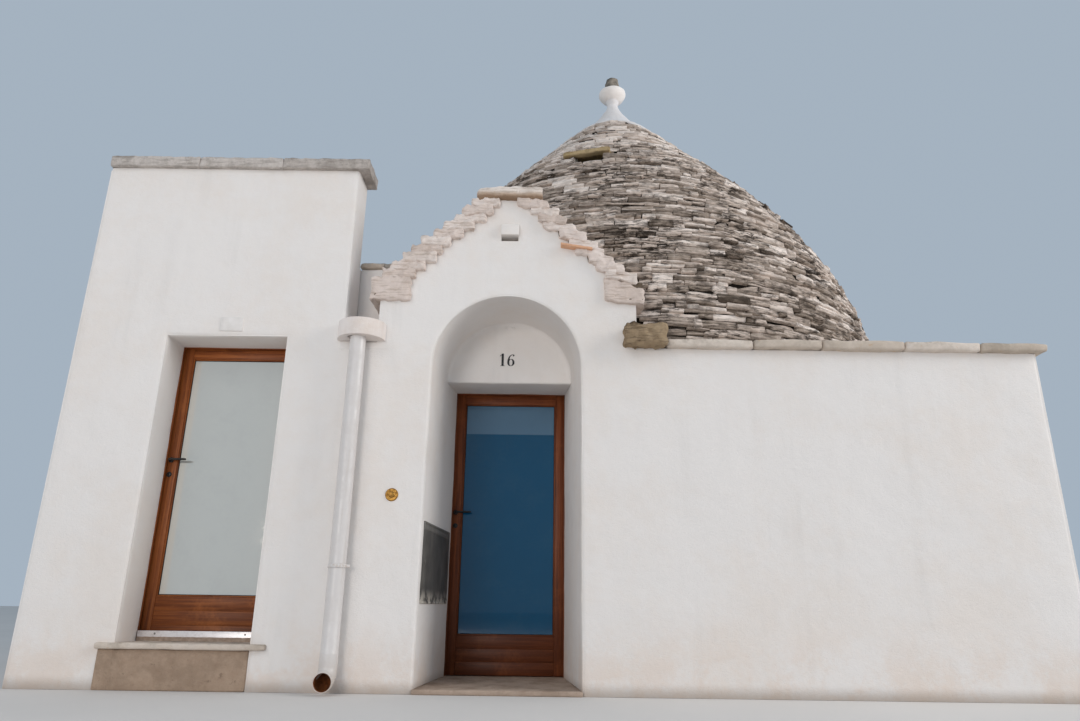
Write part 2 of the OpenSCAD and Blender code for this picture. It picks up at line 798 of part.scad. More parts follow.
module glass_solid(w, h) {
    lw = leaf_w(w);
    mid = (leaf_y + frame_d) / 2;
    block([stile_w - lw / 2, mid - glass_t / 2, leaf_gap + panel_h],
        [lw / 2 - stile_w, mid + glass_t / 2, leaf_gap + leaf_h(h) - rail_w]);
}

// Lever, rose and keyhole plate on one face; the other face mirrors them
module lever_set() {
    rotate([90, 0, 0]) {
        cylinder(r = rose_r, h = 8, $fn = 48);
        cylinder(r = 9, h = 50, $fn = 48);
        translate([0, -keyhole_drop, 0]) cylinder(r = rose_r, h = 6, $fn = 48);
    }
    translate([0, -41, 0]) rotate([0, 90, 0]) cylinder(r = 9, h = lever_l, $fn = 48);
}

module handle_solid(w, height) {
    x = rim_w + rose_gap + rose_r - w / 2;
    translate([x, leaf_y, height]) lever_set();
    translate([x, frame_d, height]) mirror([0, 1, 0]) lever_set();
}

// Heights of the three hinges above the foot of a frame
function hinge_heights(h) = [hinge_foot, h / 2, h - hinge_head];
barrel_y = frame_d + 8;
function hinge_x(w) = leaf_w(w) / 2 + leaf_gap / 2;

// The leaf's halves turn on the pins, over the frame's halves
module leaf_hinges_solid(w, h) {
    x = hinge_x(w);
    for (z = hinge_heights(h)) difference() {
        union() {
            translate([x, barrel_y, z + hinge_clear]) cylinder(r = barrel_r, h = knuckle_h, $fn = 48);
            block([x - 38, frame_d, z + hinge_clear], [x - 3, frame_d + plate_t, z + hinge_clear + knuckle_h]);
        }
        translate([x, barrel_y, z - past]) cylinder(r = pin_r + hinge_clear, h = 3 * past, $fn = 48);
    }
}

module pins_solid(w, h) {
    x = hinge_x(w);
    for (z = hinge_heights(h)) {
        translate([x, barrel_y, z - knuckle_h]) cylinder(r = barrel_r, h = knuckle_h, $fn = 48);
        translate([x, barrel_y, z - 1]) cylinder(r = pin_r, h = knuckle_h + 4, $fn = 48);
        block([x + 3, frame_d, z - knuckle_h], [x + 28, frame_d + plate_t, z]);
    }
}

// Places a piece in the entrance doorway or in the side doorway
module at_door() {
    translate([0, niche_depth, floor_t]) children();
}

module at_side_door() {
    translate([-(side_door_left + side_door_right) / 2, side_reveal, side_floor_z]) children();
}

// Room for the frame between the sides of its rebate
frame_gap = 2;
door_w = niche_back_w + 2 * frame_hidden - frame_gap;
side_frame_w = side_door_w + 2 * frame_hidden - frame_gap;

module door_frame() color(timber_dark) at_door() frame_solid(door_w, door_frame_h);
module door_leaf() color(timber_dark) at_door() leaf_solid(door_w, door_frame_h);
module door_glass() color("#8fb4d6", 0.5) at_door() glass_solid(door_w, door_frame_h);
module door_handle() color(dark_metal) at_door() handle_solid(door_w, handle_h);
module door_hinges() color(dark_metal) at_door() leaf_hinges_solid(door_w, door_frame_h);
module side_door_frame() color(timber_light) at_side_door() frame_solid(side_frame_w, side_frame_h);
module side_door_leaf() color(timber_light) at_side_door() leaf_solid(side_frame_w, side_frame_h);
module side_door_glass() color("#8fb4d6", 0.5) at_side_door() glass_solid(side_frame_w, side_frame_h);
module side_door_handle() color(dark_metal) at_side_door() handle_solid(side_frame_w, side_handle_h);
module side_door_hinges() color(dark_metal) at_side_door() leaf_hinges_solid(side_frame_w, side_frame_h);

module hinge_pins() color(dark_metal) {
    at_door() pins_solid(door_w, door_frame_h);
    at_side_door() pins_solid(side_frame_w, side_frame_h);
}

front_wall_left();
front_wall_right();
door_lintel();
left_wall();
right_wall();
back_wall();
threshold();
trullo_floor();
gable_wall();
gable_roof_left();
gable_roof_right();
ridge_course();
gable_vent();
cone_front();
cone_right();
cone_back();
cone_left();
cone_top_front();
cone_top_back();
window_hood();
cone_cap();
pinnacle_ball();
pinnacle_stub();
eaves_slabs();
spout_slab();
valley_wall();
stone_bowl();
drainpipe();
pipe_elbow();
pipe_clamp();
meter_door();
bell_push();
side_front_left();
side_front_right();
side_lintel();
side_left_wall();
side_right_wall();
side_back_wall();
side_roof();
side_coping();
side_floor();
side_step();
side_riser();
side_sill_bar();
door_frame();
door_leaf();
door_glass();
door_handle();
door_hinges();
side_door_frame();
side_door_leaf();
side_door_glass();
side_door_handle();
side_door_hinges();
hinge_pins();
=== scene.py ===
import bmesh
import bpy
import numpy as np
from mathutils import Matrix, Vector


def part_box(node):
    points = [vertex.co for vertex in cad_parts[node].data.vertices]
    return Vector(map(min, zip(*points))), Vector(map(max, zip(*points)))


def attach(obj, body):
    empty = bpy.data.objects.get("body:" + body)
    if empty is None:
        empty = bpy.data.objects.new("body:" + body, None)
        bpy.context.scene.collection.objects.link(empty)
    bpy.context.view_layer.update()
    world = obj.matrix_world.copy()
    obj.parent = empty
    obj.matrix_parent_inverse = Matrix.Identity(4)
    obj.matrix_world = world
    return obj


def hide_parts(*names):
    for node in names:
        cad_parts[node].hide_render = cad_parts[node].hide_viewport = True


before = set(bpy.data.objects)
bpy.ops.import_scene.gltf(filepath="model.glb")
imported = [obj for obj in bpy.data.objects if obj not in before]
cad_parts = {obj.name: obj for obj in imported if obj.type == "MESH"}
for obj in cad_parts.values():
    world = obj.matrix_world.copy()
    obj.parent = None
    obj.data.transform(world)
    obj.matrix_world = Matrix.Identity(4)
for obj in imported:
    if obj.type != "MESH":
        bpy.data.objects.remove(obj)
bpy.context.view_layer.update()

# Camera: a short lens held low in front of the entrance and tilted up, so that the pinnacle is in
# view. The focal length is in pixels of a picture 1080 wide.
PICTURE_W = 1080
FOCAL_PX = 762.54
EYE = np.array([0.235, -4.963, 0.510])
TILT, TURN, ROLL = 0.31253, -0.00127, 0.01409


def camera_axes(tilt, turn, roll):
    """Right, up and forward: a level heading turned about the upright, tilted up, then rolled."""
    level = np.array([np.sin(turn), np.cos(turn), 0.0])
    aside = np.array([np.cos(turn), -np.sin(turn), 0.0])
    upright = np.array([0.0, 0.0, 1.0])
    ahead = level * np.cos(tilt) + upright * np.sin(tilt)
    over = upright * np.cos(tilt) - level * np.sin(tilt)
    rolled = aside * np.cos(roll) + over * np.sin(roll), over * np.cos(roll) - aside * np.sin(roll)
    return *rolled, ahead


def placed(name, content, *columns):
    """Puts data into the scene as an object. Three axes and a place, where given, turn and set it."""
    piece = bpy.data.objects.new(name, content)
    bpy.context.collection.objects.link(piece)
    if columns:
        piece.matrix_world = Matrix([[column[i] for column in columns] for i in range(3)] + [[0, 0, 0, 1]])
    return piece


lens = bpy.data.cameras.new("camera")
lens.sensor_fit = "HORIZONTAL"
lens.sensor_width = 36.0
lens.lens = lens.sensor_width * FOCAL_PX / PICTURE_W
right, over, ahead = camera_axes(TILT, TURN, ROLL)
bpy.context.scene.camera = placed("camera", lens, right, over, -ahead, EYE)

# Lime plaster of the trullo: rubble walls rendered and whitewashed many times over, so the faces are
# lumpy, the corners round and the splayed niche runs into its vault without an edge. The coat is a thin
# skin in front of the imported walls, which keep the inner faces of the room.
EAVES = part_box("front_wall_right")[1].z
BODY_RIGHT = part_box("front_wall_right")[1].x
BODY_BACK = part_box("back_wall")[1].y
PARTY_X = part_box("front_wall_left")[0].x
GABLE_HALF = 0.895
MOUTH_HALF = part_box("threshold")[1].x
DOOR_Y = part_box("door_frame")[0].y
DOOR_HALF = 0.434
TYMPANUM_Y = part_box("door_lintel")[0].y
SOFFIT_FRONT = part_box("door_lintel")[0].z
SOFFIT_BACK = 2.130
VAULT_TOP = 2.588
COAT_LIFT = 0.004
COAT_T = 0.014
COAT_RELIEF = (3, 0.55, 0.0028), (4, 0.16, 0.0009)
FOOT = 0.0007
ARRIS = 0.016
COVE = 0.040
JAMB_ROWS = 54
ARCH_ROWS = 80


def niche_half(y):
    """Half the width of the niche at depth y: the jambs close in evenly from the mouth to the door."""
    return MOUTH_HALF - y * (MOUTH_HALF - DOOR_HALF) / DOOR_Y


def relief(points, seed, size, depth):
    """Height of an uneven surface at each point: the mean of fourteen plane waves with random headings,
    phases and lengths round size, scaled to stay mostly within depth."""
    rng = np.random.default_rng(seed)
    heading = rng.normal(size=(14, 3))
    heading /= np.linalg.norm(heading, axis=1, keepdims=True)
    wave = 2 * np.pi / (size * rng.uniform(0.55, 1.8, 14))
    phase = rng.uniform(0, 2 * np.pi, 14)
    return depth * 2.2 * np.sin(points @ (heading * wave[:, None]).T + phase).mean(-1)


def at(*axes):
    """Places from their coordinates, each a number or an array that stretches to the others' shape."""
    return np.stack(np.broadcast_arrays(*axes), -1)


def grid(points, ring=False):
    """Points and four-cornered faces of a surface given as rows of points. Faces look along the direction to
    the next column crossed with the direction to the next row; a ring joins the last column to the first."""
    rows, cols = points.shape[:2]
    index = np.arange(rows * cols).reshape(rows, cols)
    if ring:
        index = np.concatenate([index, index[:, :1]], 1)
    faces = at(index[:-1, :-1], index[:-1, 1:], index[1:, 1:], index[1:, :-1])
    return points.reshape(-1, 3), faces.reshape(-1, 4)


def mesh_of(name, slot, *surfaces, material=None, body="house", tone=None, grain=None):
    """One object from any number of (points, faces) pairs, put into a mesh as whole arrays. tone is a
    number and grain a place along the fibres for each point."""
    points = np.concatenate([p for p, f in surfaces])
    first = np.cumsum([0] + [len(p) for p, f in surfaces[:-1]])
    corners = np.concatenate([(f + s).ravel() for (p, f), s in zip(surfaces, first)]).astype(np.int32)
    sides = np.concatenate([np.full(len(f), f.shape[1]) for p, f in surfaces])
    mesh = bpy.data.meshes.new(name)
    mesh.vertices.add(len(points))
    mesh.vertices.foreach_set("co", points.astype(np.float32).ravel())
    mesh.loops.add(len(corners))
    mesh.loops.foreach_set("vertex_index", corners)
    mesh.polygons.add(len(sides))
    mesh.polygons.foreach_set("loop_start", (np.cumsum(sides) - sides).astype(np.int32))
    mesh.polygons.foreach_set("use_smooth", np.full(len(sides), True))
    mesh.update(calc_edges=True)
    if tone is not None:
        mesh.attributes.new("tone", "FLOAT", "POINT").data.foreach_set("value", tone.astype(np.float32))
    if grain is not None:
        mesh.attributes.new("grain", "FLOAT_VECTOR", "POINT").data.foreach_set(
            "vector", grain.astype(np.float32).ravel())
    if material is not None:
        mesh.materials.append(material)
    piece = placed(name, mesh)
    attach(piece, body)
    return piece


def weld(piece, reach=0.0004):
    """Joins the points of neighbouring surfaces that lie within reach of each other."""
    shell = bmesh.new()
    shell.from_mesh(piece.data)
    bmesh.ops.remove_doubles(shell, verts=shell.verts, dist=reach)
    shell.to_mesh(piece.data)
    shell.free()
    piece.data.update()


def places(piece):
    """The points and point normals of a piece as arrays."""
    mesh = piece.data
    points = np.empty(len(mesh.vertices) * 3, np.float32)
    normals = np.empty(len(mesh.vertices) * 3, np.float32)
    mesh.vertices.foreach_get("co", points)
    mesh.vertex_normals.foreach_get("vector", normals)
    return points.reshape(-1, 3).astype(float), normals.reshape(-1, 3).astype(float)


def swell(piece, lift, *reliefs):
    """Moves each point along its normal by lift and by each relief (seed, size, depth) at its place."""
    points, normals = places(piece)
    rise = lift + sum(relief(points, *settings) for settings in reliefs)
    piece.data.vertices.foreach_set("co", (points + normals * rise[:, None]).astype(np.float32).ravel())
    piece.data.update()


def thicken(piece, thickness):
    """Gives a skin its thickness behind its face, so that it is a closed shell with crisp outer edges."""
    mesh = piece.data
    used = np.empty(len(mesh.loops), np.int32)
    mesh.loops.foreach_get("edge_index", used)
    mesh.edges.foreach_set("use_edge_sharp", np.bincount(used, minlength=len(mesh.edges)) == 1)
    shell = piece.modifiers.new("thickness", "SOLIDIFY")
    shell.thickness = thickness
    shell.offset = -1.0


def plan_path(corners, radius, step):
    """Plan points from the first corner to the last, about a step apart, with a quarter arc of the radius
    in place of each corner between them."""
    corners = [np.array(c, float) for c in corners]
    path = []
    start = corners[0]
    for before, corner, after in zip(corners, corners[1:], corners[2:]):
        came = (corner - before) / np.linalg.norm(corner - before)
        leaves = (after - corner) / np.linalg.norm(after - corner)
        stop = corner - came * radius
        count = max(2, int(np.linalg.norm(stop - start) / step))
        path.append(start + (stop - start) * np.linspace(0, 1, count, endpoint=False)[:, None])
        a = np.linspace(0, np.pi / 2, 6)[:-1, None]
        middle = corner - came * radius + leaves * radius
        path.append(middle + radius * (came * np.sin(a) - leaves * np.cos(a)))
        start = corner + leaves * radius
    count = max(2, int(np.linalg.norm(corners[-1] - start) / step))
    path.append(start + (corners[-1] - start) * np.linspace(0, 1, count)[:, None])
    return np.concatenate(path)


def wall_skin(path, heights):
    """An upright skin over a plan path that runs anticlockwise round the building, a row at each height."""
    return grid(at(path[:, 0], path[:, 1], np.asarray(heights)[:, None]))


def verge_line(share):
    """Middle line of the right verge from the wall top to the ridge, at a share of its length."""
    line = np.array([[GABLE_HALF, EAVES], [GABLE_HALF, 2.60], [0.79, 2.738], [0.169, 3.309], [0.0, 3.39]])
    run = np.concatenate([[0], np.cumsum(np.linalg.norm(np.diff(line, axis=0), axis=1))])
    return at(*(np.interp(share * run[-1], run, line[:, i]) for i in range(2)))


def soffit_at(y):
    """Height of the lintel's underside at depth y: a straight line that falls towards the door."""
    return SOFFIT_FRONT + (SOFFIT_BACK - SOFFIT_FRONT) * (y - TYMPANUM_Y) / (DOOR_Y - TYMPANUM_Y)


def cove_share(z):
    """How much of the cove round the tympanum is there at height z: none at the lintel, all just over it."""
    share = np.clip((z - SOFFIT_FRONT - 0.002) / 0.07, 0, 1)
    return share * share * (3 - 2 * share)


def entrance_skin():
    """The skin of the niche and the gable. Each column keeps one distance from the opening's edge: through
    the cove round the tympanum, down the splayed reveal, round the arris and out over the facade to the
    verge. Rows run up the right jamb, over the vault on rising half circles and down the left jamb."""
    sweep = np.linspace(0, np.pi / 2, 7)[:-1]
    depth = np.linspace(TYMPANUM_Y - COVE, ARRIS, 17)
    turn = np.linspace(0, np.pi / 2, 6)[1:]
    y = np.concatenate([TYMPANUM_Y - COVE * (1 - np.cos(sweep)), depth, ARRIS * (1 - np.sin(turn))])
    out = np.concatenate([niche_half(y[:6]), niche_half(depth),
                          niche_half(ARRIS) + ARRIS * (1 - np.cos(turn))])
    drawn_in = np.concatenate([COVE * (1 - np.sin(sweep)), np.zeros(len(y) - 6)])
    spring = VAULT_TOP - np.minimum(niche_half(y), MOUTH_HALF)
    spring[:6] = VAULT_TOP - niche_half(TYMPANUM_Y)
    spring[-1] = VAULT_TOP - MOUTH_HALF
    reach = np.linspace(0, 1, 15)[1:] ** 1.15

    rise = np.linspace(FOOT, 1, JAMB_ROWS)[:, None]
    jamb = at(out - drawn_in * cove_share(rise * spring), y, rise * spring)
    edge = jamb[:, -1:]
    outer = at(GABLE_HALF, 0, rise * EAVES)
    jamb = np.concatenate([jamb, edge + (outer - edge) * reach[:, None]], 1)

    angle = np.linspace(0, np.pi, ARCH_ROWS + 1)[:, None]
    out = out - drawn_in * cove_share(spring[0] + niche_half(TYMPANUM_Y) * np.sin(angle))
    arch = at(out * np.cos(angle), y, spring + out * np.sin(angle))
    edge = arch[:, -1:]
    share = 1 - np.abs(1 - angle[:, 0] / (np.pi / 2))
    verge = verge_line(share)
    side = np.where(angle[:, 0] <= np.pi / 2, 1, -1)
    outer = at(side * verge[:, 0], 0, verge[:, 1])[:, None]
    arch = np.concatenate([arch, edge + (outer - edge) * reach[:, None]], 1)

    depth = np.linspace(DOOR_Y, TYMPANUM_Y + 0.001, 13)
    soffit = soffit_at(depth)
    reveal = at(niche_half(depth), depth, rise * soffit)
    reveal = np.concatenate([reveal, jamb[:, :1]], 1)
    flip = np.array([-1, 1, 1])
    return [grid(jamb), grid(arch), grid((jamb * flip)[::-1]), grid(reveal), grid((reveal * flip)[::-1])]


def lintel_skin():
    """Underside of the lintel, its rounded front edge and the tympanum, whose width follows the vault."""
    edge = 0.010
    depth = np.linspace(DOOR_Y, TYMPANUM_Y + edge, 12)
    soffit = soffit_at(depth)
    turn = np.linspace(0, np.pi / 2, 5)[1:]
    half = niche_half(TYMPANUM_Y)
    spring = VAULT_TOP - half
    angle = np.linspace(0, np.pi / 2, ARCH_ROWS // 2 + 1)
    rim = half - COVE * cove_share(spring + half * np.sin(angle))
    y = np.concatenate([depth, TYMPANUM_Y + edge * (1 - np.sin(turn)), np.full(len(angle), TYMPANUM_Y)])
    z = np.concatenate([soffit, SOFFIT_FRONT + edge * (1 - np.cos(turn)), spring + rim * np.sin(angle)])
    width = np.concatenate([niche_half(depth), np.full(len(turn), half), rim * np.cos(angle)])
    u = np.linspace(-1, 1, 31)
    return grid(at(width[:, None] * u, y[:, None], z[:, None]))


rows = np.linspace(FOOT, 1, JAMB_ROWS) * EAVES
round_trullo = plan_path([(GABLE_HALF, 0), (BODY_RIGHT, 0), (BODY_RIGHT, BODY_BACK), (PARTY_X, BODY_BACK)],
                         0.03, 0.07)
left_strip = at(np.linspace(PARTY_X, -GABLE_HALF, 7), 0)
trullo_coat = mesh_of("trullo_coat", "whitewash", *entrance_skin(), lintel_skin(),
                      wall_skin(round_trullo, rows), wall_skin(left_strip, rows))
weld(trullo_coat)
swell(trullo_coat, COAT_LIFT, *COAT_RELIEF)


def cut_slot(piece, x0, x1, z0, z1):
    """Cuts an upright slot through the front of a skin: the faces round it are split along its four sides,
    and those inside are dropped."""
    shell = bmesh.new()
    shell.from_mesh(piece.data)

    def faces_within(margin):
        middles = ((f, f.calc_center_median()) for f in shell.faces)
        return [f for f, m in middles if x0 - margin < m.x < x1 + margin and z0 - margin < m.z < z1 + margin]

    across, up = (1, 0, 0), (0, 0, 1)
    for place, way in (((x0, 0, 0), across), ((x1, 0, 0), across), ((0, 0, z0), up), ((0, 0, z1), up)):
        near = faces_within(0.2)
        edges, corners = {e for f in near for e in f.edges}, {v for f in near for v in f.verts}
        bmesh.ops.bisect_plane(shell, geom=near + list(edges) + list(corners), plane_co=place, plane_no=way)
    bmesh.ops.delete(shell, geom=faces_within(0), context="FACES")
    shell.to_mesh(piece.data)
    shell.free()


VENT_HALF, VENT_Z0, VENT_Z1 = 0.0615, 3.012, 3.050
cut_slot(trullo_coat, -VENT_HALF, VENT_HALF, VENT_Z0, VENT_Z1)
thicken(trullo_coat, COAT_T)


def node(tree, kind, inputs=None, **settings):
    """Adds a shader node, sets its settings and fills its inputs with values or with other nodes' outputs."""
    item = tree.nodes.new(kind)
    for key, value in settings.items():
        setattr(item, key, value)
    for key, value in (inputs or {}).items():
        if isinstance(value, bpy.types.NodeSocket):
            tree.links.new(value, item.inputs[key])
        else:
            item.inputs[key].default_value = value
    return item


def noise(tree, place, scale, detail=4.0, rough=0.55):
    return node(tree, "ShaderNodeTexNoise", {"Vector": place, "Scale": scale, "Detail": detail,
                                             "Roughness": rough}).outputs["Fac"]


def vectors(tree, kind, first, second, output=0):
    return node(tree, "ShaderNodeVectorMath", {0: first, 1: second}, operation=kind).outputs[output]


def stretched(tree, place, scale):
    """The same place with each axis scaled, to draw a pattern out along an axis."""
    return vectors(tree, "MULTIPLY", place, scale)


def strata_of(tree, place):
    """Thin layers along the bed of split stone: noise that changes ten times faster upwards than along."""
    return noise(tree, stretched(tree, place, (7.0, 7.0, 75.0)), 1.0, 5.0, 0.6)


def height_of(tree, place):
    return node(tree, "ShaderNodeSeparateXYZ", {0: place}).outputs["Z"]


def mask(tree, value, low, high):
    """A soft step from 0 at low to 1 at high."""
    return node(tree, "ShaderNodeMapRange", {"Value": value, "From Min": low, "From Max": high},
                interpolation_type="SMOOTHSTEP").outputs["Result"]


def times(tree, first, second):
    return node(tree, "ShaderNodeMath", {0: first, 1: second}, operation="MULTIPLY").outputs[0]


def plus(tree, first, second):
    return node(tree, "ShaderNodeMath", {0: first, 1: second}, operation="ADD").outputs[0]


def bump(tree, height, strength, distance, normal=None):
    """Relief from a height, laid over another normal where one is given."""
    under = {} if normal is None else {"Normal": normal}
    return node(tree, "ShaderNodeBump", {"Height": height, "Strength": strength, "Distance": distance,
                                         **under}).outputs[0]


def tint(tree, where, share, under, upper):
    """The under colour covered by the upper one: a mask says where and a share how strongly."""
    return node(tree, "ShaderNodeMix", {0: times(tree, where, share), 6: under, 7: upper},
                data_type="RGBA").outputs[2]


def rgb(red, green, blue):
    """A colour as seen on a screen, 0 to 255, as the linear values that shaders take."""
    share = np.array([red, green, blue]) / 255
    linear = np.where(share <= 0.04045, share / 12.92, ((share + 0.055) / 1.055) ** 2.4)
    return (*linear, 1.0)


def shader_group(name, inputs, outputs):
    """An empty node group with its named sockets, and its two end nodes."""
    tree = bpy.data.node_groups.new(name, "ShaderNodeTree")
    for label, kind, value in inputs:
        socket = tree.interface.new_socket(label, in_out="INPUT", socket_type="NodeSocket" + kind)
        if value is not None:
            socket.default_value = value
    for label, kind in outputs:
        tree.interface.new_socket(label, in_out="OUTPUT", socket_type="NodeSocket" + kind)
    return tree, tree.nodes.new("NodeGroupInput").outputs, tree.nodes.new("NodeGroupOutput").inputs


def fill(tree, group, inputs):
    """Places a node group and fills its sockets."""
    return node(tree, "ShaderNodeGroup", inputs, node_tree=group).outputs


def patches_group():
    """Soft patches where a slow noise, broken up by a fast one, rises over a threshold."""
    tree, given, result = shader_group("patches", [("Vector", "Vector", None), ("Scale", "Float", 2.0),
                                       ("Low", "Float", 0.5), ("High", "Float", 0.6)], [("Mask", "Float")])
    slow = noise(tree, given["Vector"], given["Scale"], 6.0, 0.62)
    fast = noise(tree, given["Vector"], times(tree, given["Scale"], 9.0), 3.0, 0.6)
    mixed = plus(tree, times(tree, slow, 0.78), times(tree, fast, 0.22))
    tree.links.new(mask(tree, mixed, given["Low"], given["High"]), result["Mask"])
    return tree


def runs_group():
    """Streaks left by rain: noise drawn out down the wall, broken by patches."""
    tree, given, result = shader_group("rain_runs", [("Vector", "Vector", None), ("Scale", "Float", 9.0),
                                       ("Low", "Float", 0.5), ("High", "Float", 0.7)], [("Mask", "Float")])
    drawn = stretched(tree, given["Vector"], (1.0, 1.0, 0.07))
    streak = mask(tree, noise(tree, drawn, given["Scale"], 4.0, 0.6), given["Low"], given["High"])
    broken = mask(tree, noise(tree, given["Vector"], 1.7, 3.0), 0.42, 0.62)
    tree.links.new(times(tree, streak, broken), result["Mask"])
    return tree


def skin_group():
    """Relief of a hand-laid surface: slow lumps, brush marks and fine pits, given as a normal."""
    tree, given, result = shader_group(
        "hand_laid_skin", [("Vector", "Vector", None), ("Scale", "Float", 1.0), ("Lumps", "Float", 0.4),
                           ("Pits", "Float", 0.2)], [("Normal", "Vector")])
    place = node(tree, "ShaderNodeVectorMath", {0: given["Vector"], "Scale": given["Scale"]},
                 operation="SCALE").outputs[0]
    lumps = bump(tree, noise(tree, place, 7.0, 5.0, 0.5), given["Lumps"], 0.02)
    brushed = noise(tree, stretched(tree, place, (1.0, 1.0, 2.2)), 46.0, 5.0, 0.65)
    brush = bump(tree, brushed, given["Lumps"], 0.004, lumps)
    pits = mask(tree, noise(tree, place, 150.0, 2.0), 0.66, 0.5)
    tree.links.new(bump(tree, pits, given["Pits"], 0.002, brush), result["Normal"])
    return tree


PATCHES = patches_group()
RUNS = runs_group()
SKIN = skin_group()


def patches(tree, place, scale, low, high):
    return fill(tree, PATCHES, {"Vector": place, "Scale": scale, "Low": low, "High": high})["Mask"]


def rain_runs(tree, place, scale, low, high):
    return fill(tree, RUNS, {"Vector": place, "Scale": scale, "Low": low, "High": high})["Mask"]


def hand_laid(tree, place, scale, lumps, pits):
    return fill(tree, SKIN, {"Vector": place, "Scale": scale, "Lumps": lumps, "Pits": pits})["Normal"]


def finish(name, roughness, **sockets):
    """A material with its shader, and the place on the surface that its patterns read."""
    material = bpy.data.materials.new(name)
    material.use_nodes = True
    tree = material.node_tree
    shader = tree.nodes["Principled BSDF"]
    shader.inputs["Roughness"].default_value = roughness
    for key, value in sockets.items():
        shader.inputs[key.replace("_", " ")].default_value = value
    place = node(tree, "ShaderNodeTexCoord").outputs["Object"]
    return material, tree, shader.inputs, place


def surface(tree, shader, colour, normal=None, roughness=None):
    """Joins a colour to the shader, and a normal and a roughness where they vary over the surface."""
    for socket, value in (("Base Color", colour), ("Normal", normal), ("Roughness", roughness)):
        if value is not None:
            tree.links.new(value, shader[socket])


def whitewash(name, base, warm, grey, warmth, foot, rain=0.16):
    """Whitewash on lime plaster: the base tone with warm and grey patches, rain streaks, a stained foot."""
    material, tree, shader, place = finish(name, 0.9, Specular_IOR_Level=0.25)
    height = height_of(tree, place)
    colour = tint(tree, patches(tree, place, 1.1, 0.42, 0.66), 1.0, base, warm)
    colour = tint(tree, rain_runs(tree, place, 7.0, 0.5, 0.75), rain, colour, grey)
    colour = tint(tree, patches(tree, place, 16.0, 0.66, 0.72), 0.3, colour, grey)
    damp = times(tree, mask(tree, height, 0.55, 0.0), patches(tree, place, 3.4, 0.40, 0.60))
    colour = tint(tree, damp, warmth, colour, foot)
    colour = tint(tree, mask(tree, height, 0.09, 0.0), 0.55, colour, rgb(134, 116, 98))
    surface(tree, shader, colour, hand_laid(tree, place, 1.0, 0.32, 0.22))
    return material


facade_white = whitewash("facade_whitewash", rgb(233, 228, 224), rgb(231, 223, 216), rgb(196, 192, 188), 0.45,
                         rgb(222, 200, 182))


def dress(names, material):
    """Gives CAD nodes their material."""
    for name in names.split():
        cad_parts[name].data.materials.clear()
        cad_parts[name].data.materials.append(material)


trullo_coat.data.materials.append(facade_white)
dress("front_wall_left front_wall_right left_wall right_wall back_wall door_lintel gable_wall valley_wall "
      "gable_vent", facade_white)

# Threshold and floor: limestone worn smooth by feet. The threshold is one slab, cut to the splay of the
# niche, and rises a little over the street.


def blocks(low, high, radius, cells):
    """Rounded boxes between their low and high corners. A lattice on each box's faces keeps its place on the
    flats, and near an edge a point is drawn to the radius from the nearest point of the core box."""
    low, high = np.atleast_2d(low).astype(float), np.atleast_2d(high).astype(float)
    radius = np.broadcast_to(radius, len(low)).astype(float)[:, None]
    lattice = np.stack(np.meshgrid(*(np.arange(n + 1) for n in cells), indexing="ij"), -1)
    outer = (lattice == 0).any(-1) | (lattice == np.array(cells)).any(-1)
    shell = lattice[outer]
    index = np.full(outer.shape, -1)
    index[outer] = np.arange(len(shell))
    faces = []
    for axis in range(3):
        for side in (0, -1):
            sheet = np.take(index, side, axis=axis)
            quads = at(sheet[:-1, :-1], sheet[1:, :-1], sheet[1:, 1:], sheet[:-1, 1:]).reshape(-1, 4)
            faces.append(quads[:, ::-1] if (side == 0) != (axis == 1) else quads)
    points = np.empty((len(low), len(shell), 3))
    for axis, count in enumerate(cells):
        size = (high - low)[:, axis:axis + 1]
        if count < 3:
            steps = size * np.linspace(0, 1, count + 1)
        else:
            core = radius + (size - 2 * radius) * np.linspace(0, 1, count - 1)
            steps = np.concatenate([0 * size, core, size], 1)
        points[..., axis] = low[:, axis:axis + 1] + steps[:, shell[:, axis]]
    inset = radius[:, :, None]
    core = np.clip(points, low[:, None] + inset, high[:, None] - inset)
    offset = points - core
    return core + offset * (inset / np.linalg.norm(offset, axis=-1, keepdims=True)), np.concatenate(faces)


def spread(points, faces):
    """One (points, faces) pair from many copies of a shape with the same faces."""
    count, size = points.shape[:2]
    copies = faces[None] + size * np.arange(count)[:, None, None]
    return points.reshape(-1, 3), copies.reshape(-1, faces.shape[1])


def split_stones(low, high, seed, radius=0.018, cells=(6, 6, 3), rough=0.005, grain=0.11):
    """Hand-split slabs: rounded boxes whose points are pushed about by a relief along each axis. Each slab
    reads its own stretch of the reliefs. Gives the slabs and one random tone for each point."""
    rng = np.random.default_rng(seed)
    points, faces = blocks(low, high, radius, cells)
    own = points + rng.uniform(-30, 30, (len(points), 1, 3))
    push = np.stack([relief(own, seed + axis, grain, rough) for axis in range(3)], -1)
    tone = np.repeat(rng.uniform(0, 1, len(points)), points.shape[1])
    return spread(points + push, faces), tone


def ramp(tree, value, *stops):
    """Colours at places between 0 and 1, blended between the stops."""
    item = node(tree, "ShaderNodeValToRGB", {"Fac": value})
    while len(item.color_ramp.elements) < len(stops):
        item.color_ramp.elements.new(1.0)
    for element, (place, colour) in zip(item.color_ramp.elements, stops):
        element.position = place
        element.color = colour
    return item.outputs["Color"]


def between(tree, value, low, high):
    """A number that runs from low to high with the value."""
    return ramp(tree, value, (0.0, (low, low, low, 1)), (1.0, (high, high, high, 1)))


